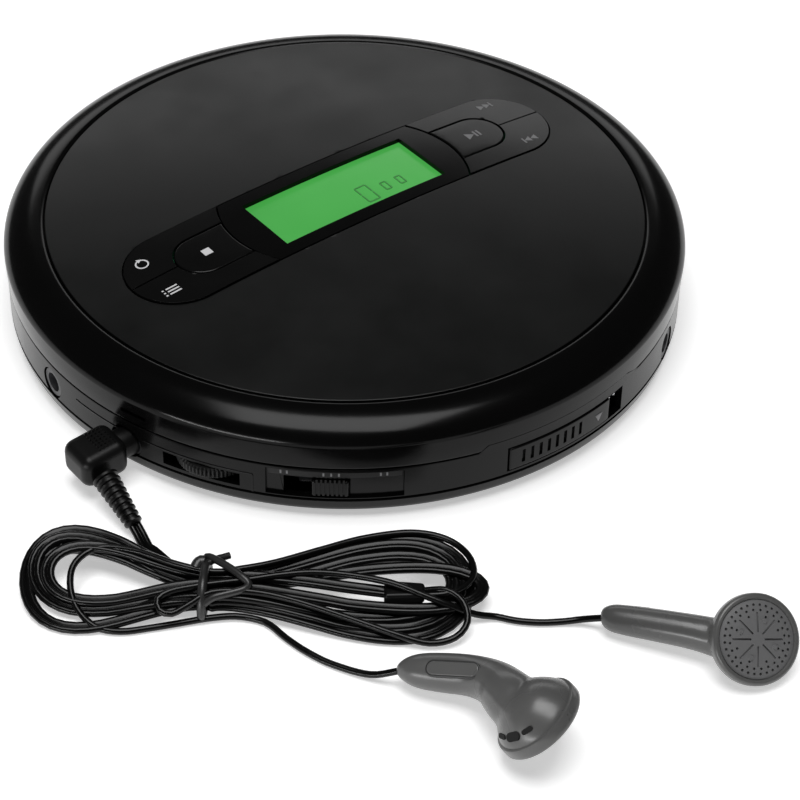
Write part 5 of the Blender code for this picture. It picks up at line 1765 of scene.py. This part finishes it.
@dataclass
class Lid:
    """The lid: shiny rim, matte domed panel, inner cover and hinge.

    Attributes:
        dome: The top that its panel follows.
        pod: The pod of display and keys.
        rim: Radius of the widest part.
        shoulder: Its height.
        bottom: Height of the lid's lower edge.
        bore: Radius of its side band inside.
        power: Roundness of the shoulder.
        sides: Facets round it.
        hinge: Place of the hinge pin, in Y and Z.
    """

    dome: Dome
    pod: Pod
    rim: float = 70.0
    shoulder: float = 17.6
    bottom: float = 12.6
    bore: float = 68.3
    power: float = 1.8
    sides: int = 180
    hinge: tuple[float, float] = (67.9, 13.0)

    def shoulder_rings(self, steps: int = 22) -> list[Ring]:
        """The profile over the shiny rim, from the groove outwards."""
        inner = self.dome.radius + 0.4
        found = []
        for k in range(steps + 1):
            turn = math.pi / 2 * k / steps
            across, down = math.sin(turn) ** (2 / self.power), math.cos(turn) ** (2 / self.power)
            found.append(
                (
                    inner + (self.rim - inner) * across,
                    self.shoulder + (self.dome.edge - self.shoulder) * down,
                )
            )
        return found

    def rim_piece(self) -> bpy.types.Object:
        """The shiny rim with its knuckle, striker, front notch and side slot."""
        rings = [
            (59.0, 20.9),
            (61.7, 20.9),
            (61.7, 22.0),
            *self.shoulder_rings(),
            (69.93, 15.5),
            (69.82, 12.95),
            (69.68, 12.68),
            (69.4, 12.6),
            (68.4, 12.6),
            (68.3, 12.8),
            (68.3, 17.4),
            (66.5, 19.4),
            (62.8, 20.2),
            (59.0, 20.3),
        ]
        rim = lathe("lid_shiny_rim", [(r * MM, h * MM) for r, h in rings], self.sides, loop=True)
        y, z = (v * MM for v in self.hinge)
        knuckle = rod("knuckle", (-7 * MM, y, z), (7 * MM, y, z), 2.1 * MM, sides=36)
        boolean(rim, knuckle, "UNION")
        striker = arc_block("striker", (66.4, 68.7), (15.0, 16.2), (266, 274), 6)
        boolean(rim, striker, "UNION")
        boolean(rim, front_step("notch", 0.3))
        for side in (-1, 1):
            ends = sorted((side * 7.3, side * 17.2))
            boolean(rim, rod("pocket", (ends[0] * MM, y, z), (ends[1] * MM, y, z), 2.4 * MM, sides=36))
            low, high = (ends[0] * MM, 60 * MM, 10 * MM), (ends[1] * MM, 72 * MM, z)
            boolean(rim, block("pocket", low, high))
        boolean(rim, rod("pin_hole", (-17 * MM, y, z), (17 * MM, y, z), 1.2 * MM, sides=24))
        boolean(rim, arc_block("slot", (69.0, 71), (14.6, 15.5), (195.3, 200.2), 5))
        bevel(rim, 0.12 * MM, 2, 50)
        return smooth(rim, 40)

    def panel_piece(self) -> bpy.types.Object:
        """The matte domed panel round the pod."""
        edge = self.dome.radius - 0.3
        distances = [edge * k / 12 for k in range(1, 12)] + [edge - 0.25]
        rings = [(0.0, self.dome.height(0))]
        rings += [(r, self.dome.height(r)) for r in distances]
        rings += [(edge - 0.06, self.dome.height(edge) - 0.06), (edge, self.dome.height(edge) - 0.25)]
        rings += [(edge, self.dome.height(edge) - 1.1)]
        rings += [(r, self.dome.height(r) - 1.1) for r in reversed(distances[:-1])]
        rings += [(0.0, self.dome.height(0) - 1.1)]
        panel = lathe("lid_domed_panel", [(r * MM, h * MM) for r, h in rings], self.sides)
        hole = pill(
            "pod_hole",
            self.pod.length * MM,
            self.pod.width * MM,
            15 * MM,
            36 * MM,
            [v * MM for v in self.pod.centre],
            96,
        )
        boolean(panel, hole)
        bevel(panel, 0.22 * MM, 3, 55)
        return smooth(panel, 30)

    def cover_piece(self) -> bpy.types.Object:
        """The inner cover, with its clamp ring and rings of ribs."""
        rings = [
            (0, 21.2),
            (58.4, 21.2),
            (58.4, 20.5),
            (57.6, 20.3),
            (52.0, 20.3),
            (51.6, 20.5),
            (22.0, 20.5),
            (21.7, 20.25),
            (20.9, 20.25),
            (20.6, 20.5),
            (9.4, 20.5),
            (9.2, 20.4),
            (7.8, 20.4),
            (7.6, 20.6),
            (0, 20.6),
        ]
        cover = lathe("lid_liner", [(r * MM, h * MM) for r, h in rings], 96)
        return smooth(cover, 30)

    def build(self) -> None:
        """Builds and dresses the lid."""
        dress(self.rim_piece(), GLOSS, "lid", "lid_gloss", "lid_rim")
        dress(self.panel_piece(), PANEL, "lid", "lid_matte", "lid_panel")
        dress(self.cover_piece(), WELL, "lid", "lid_matte", "lid_inner_cover")
        self.pod.build()


# ------------------------------------------------------------------ case


def arc_block(
    name: str, reach: tuple[float, float], heights: tuple[float, float], turn: tuple[float, float], steps: int
) -> bpy.types.Object:
    """A block bent round the Z axis, spun from one face.

    Args:
        name: The object's name.
        reach: Inner and outer radius in millimetres.
        heights: Lowest and highest point in millimetres.
        turn: First and last angle in degrees.
        steps: Facets along it.

    Returns:
        The settled block.
    """
    deselect()
    bpy.ops.mesh.primitive_plane_add(
        size=1,
        location=(sum(reach) / 2 * MM, 0, sum(heights) / 2 * MM),
        rotation=(math.pi / 2, 0, 0),
    )
    obj = bpy.context.object
    obj.name = name
    obj.scale = ((reach[1] - reach[0]) * MM, (heights[1] - heights[0]) * MM, 1)
    settle(obj)
    obj.rotation_euler = (0, 0, math.radians(turn[0]))
    settle(obj)
    bpy.ops.object.mode_set(mode="EDIT")
    bpy.ops.mesh.select_all(action="SELECT")
    bpy.ops.mesh.spin(
        steps=steps, angle=math.radians(turn[0] - turn[1]), center=(0, 0, 0), axis=(0, 0, 1)
    )
    bpy.ops.mesh.select_all(action="SELECT")
    bpy.ops.mesh.normals_make_consistent(inside=False)
    bpy.ops.object.mode_set(mode="OBJECT")
    return obj


def front_step(name: str, gap: float = 0.0) -> bpy.types.Object:
    """The wedge of case wall that steps up over the opener, in millimetres.

    Args:
        name: The object's name.
        gap: Clearance round it.

    Returns:
        The wedge.
    """
    top, low, rise = 13.7 + gap, 10.3, 1.4 + gap
    half = 17.3 + gap
    wedge = block(name, (-half * MM, -72 * MM, low * MM), (half * MM, -60 * MM, top * MM))
    share = (top - low) / rise
    shift(wedge, lambda co: co.z < 12 * MM and co.x < 0, (-1.9 * share * MM, 0, 0))
    shift(wedge, lambda co: co.z < 12 * MM and co.x > 0, (4.6 * share * MM, 0, 0))
    return wedge


@dataclass
class Case:
    """The lower body: base, side wall with its controls, and disc well."""

    radius: float = 69.8
    inner: float = 68.2
    sides: int = 180
    sockets: tuple[tuple[float, float, float, float], ...] = (
        (180.0, 19.0, 7.0, 3.3),
        (177.3, 0.0, 7.8, 3.0),
        (301.0, 0.0, 7.2, 3.3),
    )
    screws: tuple[float, ...] = (30.0, 140.0, 322.0)
    feet: tuple[float, ...] = (48.0, 132.0, 228.0, 312.0)
    wheel: tuple[float, float] = (-54.637, -31.163)

    def socket_cutter(self, turn: float, aside: float, height: float, radius: float) -> bpy.types.Object:
        """The round hole in the wall for one socket."""
        ends = []
        for reach in (60, 72):
            ends.append(Matrix.Rotation(math.radians(turn), 3, "Z") @ Vector((reach, aside, height)) * MM)
        return rod("socket_hole", ends[0], ends[1], (radius + 0.3) * MM, sides=48)

    def wall(self) -> bpy.types.Object:
        """Side wall, ledge and disc well in one moulding."""
        rings = [
            (0, 15.9),
            (16.0, 15.9),
            (16.3, 15.7),
            (17.5, 15.7),
            (17.8, 15.9),
            (56.0, 15.9),
            (56.3, 16.1),
            (57.6, 16.1),
            (57.9, 15.9),
            (60.9, 15.9),
            (61.4, 18.3),
            (63.8, 18.3),
            (64.6, 17.4),
            (65.2, 12.3),
            (69.45, 12.3),
            (69.66, 12.22),
            (69.72, 12.0),
            (69.80, 5.1),
            (69.62, 4.9),
            (68.2, 4.9),
            (68.2, 11.0),
            (64.0, 11.0),
            (63.6, 14.8),
            (0, 14.8),
        ]
        case = lathe("case_moulding", [(r * MM, h * MM) for r, h in rings], self.sides)
        tongue = arc_block("tongue", (68.2, 69.7), (11.8, 17.3), (252, 292), 40)
        boolean(case, boolean(tongue, front_step("keep"), "INTERSECT"), "UNION")
        for side in (-1, 1):
            ends = ((side * 10.5 * MM, 67.9 * MM, 13 * MM), (side * 16.9 * MM, 67.9 * MM, 13 * MM))
            boolean(case, rod("knuckle", *ends, 2.1 * MM, sides=36), "UNION")
        low, high = (-30 * MM, 16.2 * MM, 3.0 * MM), (30 * MM, 47.8 * MM, 17.6 * MM)
        boolean(case, block("bay", low, high), "UNION")
        low, high = (-29 * MM, 17.2 * MM, 0), (29 * MM, 46.8 * MM, 16.8 * MM)
        boolean(case, block("bay_room", low, high))
        low, high = (-13.5 * MM, -13 * MM, 13 * MM), (61.3 * MM, 13.5 * MM, 16.2 * MM)
        boolean(case, block("drive_window", low, high))
        self.openings(case)
        bevel(case, 0.12 * MM, 2, 50)
        return smooth(case, 40)

    def openings(self, case: bpy.types.Object) -> None:
        """Cuts the hinge pocket and the side openings."""
        pocket = rod("pocket", (-10.5 * MM, 67.9 * MM, 13 * MM), (10.5 * MM, 67.9 * MM, 13 * MM), 2.7 * MM)
        boolean(case, pocket)
        boolean(case, arc_block("opener_window", (67.9, 71), (5.6, 11.5), (259.0, 283.6), 24))
        boolean(case, arc_block("hook_slot", (65.8, 67.7), (10.5, 12.8), (266.5, 276.8), 8))
        for socket in self.sockets:
            boolean(case, self.socket_cutter(*socket))
        boolean(case, arc_block("wheel_slot", (67.2, 71), (5.8, 8.8), (203.1, 216.3), 14))
        boolean(case, arc_block("switch_panel", (69.1, 71), (5.3, 11.6), (220.4, 242.0), 22))
        low, high = (66.2 * MM, -8.8 * MM, 5.3 * MM), (71 * MM, 3.8 * MM, 9.7 * MM)
        boolean(case, block("knob_slot", low, high, turn=230.5))

    def base(self) -> bpy.types.Object:
        """The bottom shell."""
        rings = [
            (0, 2.4),
            (66.4, 2.4),
            (68.0, 3.4),
            (68.2, 4.6),
            (69.62, 4.6),
            (69.80, 4.42),
            (69.5, 2.8),
            (69.2, 2.0),
            (68.7, 1.45),
            (67.5, 1.0),
            (50.4, 1.0),
            (50.2, 1.2),
            (49.6, 1.2),
            (49.4, 1.0),
            (0, 1.0),
        ]
        base = lathe("base_moulding", [(r * MM, h * MM) for r, h in rings], self.sides)
        low, high = (-29.3 * MM, 15.4 * MM, 0), (29.3 * MM, 48.1 * MM, 3.4 * MM)
        boolean(base, block("hatch", low, high))
        for socket in self.sockets:
            boolean(base, self.socket_cutter(*socket))
        for angle in self.feet:
            centre = on_circle(56 * MM, angle)
            boolean(base, rod("foot", centre, centre + Vector((0, 0, 1.7 * MM)), 4.3 * MM, sides=40))
        for angle in self.screws:
            centre = on_circle(63.9 * MM, angle)
            boolean(base, rod("screw", centre, centre + Vector((0, 0, 2.8 * MM)), 2.2 * MM, sides=28))
        bevel(base, 0.12 * MM, 2, 50)
        return smooth(base, 40)

    def slider(self) -> bpy.types.Object:
        """The ribbed slider that frees the lid."""
        slider = arc_block("opener_slider", (68.5, 70.0), (5.9, 11.2), (259.3, 280.0), 24)
        bevel(slider, 0.3 * MM, 3, 50)
        for k in range(8):
            first = 261.5 + 1.62 * k
            cutter = arc_block("groove", (69.55, 71), (7.0, 10.1), (first, first + 0.62), 2)
            boolean(slider, cutter)
        boolean(slider, arc_block("carriage", (66.1, 68.8), (6.9, 10.2), (261.8, 277.0), 12), "UNION")
        boolean(slider, arc_block("hook", (66.1, 67.3), (9.7, 14.5), (267.5, 272.5), 6), "UNION")
        return smooth(slider, 35)

    def slider_arrow(self) -> bpy.types.Object:
        """The raised arrow that shows which way the slider goes."""
        deselect()
        bpy.ops.mesh.primitive_cylinder_add(vertices=3, radius=1.15 * MM, depth=0.3 * MM)
        arrow = named("slider_arrow")
        bevel(arrow, 0.08 * MM, 2)
        out = on_circle(1, 277.3)
        place = Matrix.Translation(out * 69.98 * MM + Vector((0, 0, 8.6 * MM)))
        across = Vector((0, 0, 1)).cross(out)
        turn = Matrix((across, Vector((0, 0, 1)), out)).transposed().to_4x4()
        lean = Matrix.Rotation(math.radians(-60), 4, "Z")
        return smooth(moved(arrow, place @ turn @ lean), 30)

    def knob(self) -> bpy.types.Object:
        """The ribbed knob of the slide switch."""
        knob = block("selector_knob", (65.1 * MM, -3.5 * MM, 5.6 * MM), (69.8 * MM, 3.5 * MM, 9.4 * MM))
        bevel(knob, 0.4 * MM, 3)
        for k in range(-3, 4):
            low = (69.3 * MM, (0.85 * k - 0.2) * MM, 5 * MM)
            high = (71 * MM, (0.85 * k + 0.2) * MM, 10 * MM)
            boolean(knob, block("rib_gap", low, high))
        knob.rotation_euler = (0, 0, math.radians(230.5))
        return smooth(settle(knob), 30)

    def dial(self) -> bpy.types.Object:
        """The volume wheel with its milled edge."""
        rings = [(2.0, 8.5), (7.3, 8.5), (7.75, 8.1), (7.75, 6.5), (7.3, 6.1), (2.0, 6.1)]
        dial = lathe("volume_dial_wheel", [(r * MM, h * MM) for r, h in rings], 180, loop=True)

        def in_groove(co: Vector) -> bool:
            """Whether a corner lies on a groove of the milled edge."""
            turn = math.degrees(math.atan2(co.y, co.x)) % 360
            return co.xy.length > 7.6 * MM and round(turn / 2) % 3 == 0

        pick(dial, in_groove)
        bpy.ops.transform.resize(value=(0.945, 0.945, 1), center_override=(0, 0, 7.3 * MM))
        bpy.ops.object.mode_set(mode="OBJECT")
        dial.location = (self.wheel[0] * MM, self.wheel[1] * MM, 0)
        return smooth(settle(dial), 30)

    def trims(self) -> list[bpy.types.Object]:
        """The thin raised line and marks on the side wall."""
        line = arc_block("side_line", (69.4, 69.88), (9.28, 9.52), (184.4, 218.4), 40)
        drop = arc_block("side_line_end", (69.4, 69.88), (5.0, 9.28), (218.2, 218.5), 1)
        plate = arc_block("switch_plate", (69.0, 69.16), (9.9, 11.45), (220.7, 241.7), 24)
        line = merged("side_line", [line, drop])
        bevel(line, 0.06 * MM, 2, 50)
        return [smooth(line, 40), smooth(plate, 40)]

    def ticks(self) -> bpy.types.Object:
        """Plain marks over the slide switch and by the wheel."""
        bars = []
        for turn in (222.6, 223.6, 229.3, 230.5, 231.7, 238.2, 239.2):
            bars.append(arc_block("tick", (69.05, 69.2), (10.2, 11.0), (turn, turn + 0.28), 1))
        return merged("switch_ticks", bars)

    def build(self) -> None:
        """Builds and dresses the case."""
        dress(self.wall(), CASE, "case", "case_plastic", "upper_case")
        dress(self.base(), CASE, "case", "case_plastic", "base_shell")
        dress(self.slider(), CASE, "opener", "case_plastic", "open_slider")
        dress(self.slider_arrow(), DARK_PRINT, "opener", "case_plastic")
        dress(self.knob(), CASE, "selector", "case_plastic", "switch_knob")
        dress(self.dial(), SIDE, "volume_dial", "case_plastic", "volume_wheel")
        line, plate = self.trims()
        dress(line, CASE, "case", "case_plastic")
        dress(plate, SIDE, "case", "case_plastic")
        dress(self.ticks(), DARK_PRINT, "case", "case_plastic")


# ------------------------------------------------------------------ works


@dataclass
class Works:
    """Drive, cells, boards and small hardware.

    Attributes:
        hub: Radius of the turntable.
        boss: Radius of its boss.
        disc: Height at which a disc lies.
    """

    hub: float = 12.0
    boss: float = 7.3
    disc: float = 18.7

    def turntable(self) -> bpy.types.Object:
        """The turntable's ivory moulding."""
        rings = [
            (0, self.disc + 1.2),
            (1.4, self.disc + 1.2),
            (1.6, self.disc + 1.4),
            (self.boss - 0.9, self.disc + 1.4),
            (self.boss - 0.25, self.disc + 1.15),
            (self.boss, self.disc + 0.7),
            (self.boss, self.disc - 0.1),
            (self.hub - 0.2, self.disc - 0.1),
            (self.hub, self.disc - 0.3),
            (self.hub, self.disc - 1.0),
            (self.boss, self.disc - 1.4),
            (self.boss - 1, 15.1),
            (0.9, 15.1),
            (0.9, 10.3),
            (0, 10.3),
        ]
        table = lathe("turntable_moulding", [(r * MM, h * MM) for r, h in rings], 72)
        return smooth(table, 30)

    def disc_pad(self) -> bpy.types.Object:
        """The rubber ring that a disc rests on."""
        rings = [(8.6, 18.5), (8.6, 18.66), (8.8, 18.7), (11.4, 18.7), (11.6, 18.66), (11.6, 18.5)]
        ring = lathe("turntable_pad", [(r * MM, h * MM) for r, h in rings], 72, loop=True)
        return smooth(ring, 30)

    def clips(self) -> bpy.types.Object:
        """Three sprung balls that hold a disc on the boss."""
        balls = []
        for k in range(3):
            ball = lathe(
                "clip",
                [(0, -0.7 * MM), (0.5 * MM, -0.5 * MM), (0.7 * MM, 0), (0.5 * MM, 0.5 * MM), (0, 0.7 * MM)],
                20,
            )
            ball.location = on_circle(6.75 * MM, 90 + 120 * k, 19.5 * MM)
            balls.append(settle(ball))
        return smooth(merged("turntable_clips", balls), 60)

    def lens(self) -> bpy.types.Object:
        """The pickup's lens."""
        rings = [(0, 17.5), (0.8, 17.42), (1.5, 17.2), (1.9, 16.85), (1.9, 16.2), (0, 16.2)]
        lens = lathe("pickup_lens", [(r * MM, h * MM) for r, h in rings], 40)
        lens.location = (24 * MM, 0, 0)
        return smooth(settle(lens), 40)

    def build(self, nodes: dict[str, bpy.types.Object]) -> None:
        """Builds the turntable and lens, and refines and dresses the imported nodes."""
        dress(self.turntable(), IVORY, "hub", "hub_plastic", "turntable")
        dress(self.disc_pad(), RUBBER, "hub", "hub_plastic")
        dress(self.clips(), STEEL, "hub", "steel")
        dress(self.lens(), Finish("lens_glass", (0.02, 0.03, 0.10), 0.05, coat=1.0), "lens", "drive_plastic")
        rounded = (
            ("battery_door", CASE, "battery_hatch", "case_plastic", 0.1),
            ("lens_holder", DRIVE, "lens", "drive_plastic", 0.1),
            ("pickup_sled", DRIVE, "pickup", "drive_plastic", 0.2),
            ("drive_chassis", WELL, "case", "drive_plastic", 0.12),
            ("rubber_foot_1", RUBBER, "case", "foot_rubber", 0.2),
            ("rubber_foot_2", RUBBER, "case", "foot_rubber", 0.2),
            ("rubber_foot_3", RUBBER, "case", "foot_rubber", 0.2),
            ("rubber_foot_4", RUBBER, "case", "foot_rubber", 0.2),
            ("headphone_jack", DRIVE, "case", "socket_plastic", 0.1),
            ("dc_jack", DRIVE, "case", "socket_plastic", 0.1),
            ("line_out_jack", DRIVE, "case", "socket_plastic", 0.1),
            ("case_screw_1", STEEL, "case", "steel", 0),
            ("case_screw_2", STEEL, "case", "steel", 0),
            ("case_screw_3", STEEL, "case", "steel", 0),
            ("hinge_pin", STEEL, "case", "steel", 0),
            ("hinge_spring", STEEL, "case", "steel", 0),
            ("spindle_motor", STEEL, "case", "steel", 0.3),
        )
        for node, finish, body, slot, edge in rounded:
            dress(refined(nodes[node], f"{node}_fine", edge * MM), finish, body, slot, node)
        plain = {
            "main_board": BOARD,
            "key_board": BOARD,
            "volume_pot": DRIVE,
            "slide_switch": STEEL,
            "slider_spring": STEEL,
            "aa_cell_1": CELL,
            "aa_cell_2": CELL,
            "cell_spring": STEEL,
            "cell_contact": STEEL,
            "feed_motor": STEEL,
            "feed_pinion": BRASS,
            "feed_screw": STEEL,
            "guide_rod": STEEL,
        }
        for node, finish in plain.items():
            nodes[node].data.materials.clear()
            nodes[node].data.materials.append(finish.material())


@dataclass
class Player:
    """The whole player."""

    nodes: dict[str, bpy.types.Object]

    def build(self) -> None:
        """Builds lid, case and works."""
        dome = Dome()
        Lid(dome, Pod(dome, Marks())).build()
        Case().build()
        Works().build(self.nodes)


def main() -> None:
    """Builds every sub-assembly in order."""
    logging.basicConfig(level=logging.INFO, format="%(name)s: %(message)s")
    studio = Studio()
    studio.build()
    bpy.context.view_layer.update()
    cords = Cords()
    earphones = Earphones(cords)
    earphones.build()
    Player(frame["nodes"]).build()


if __name__ == "__main__":
    main()
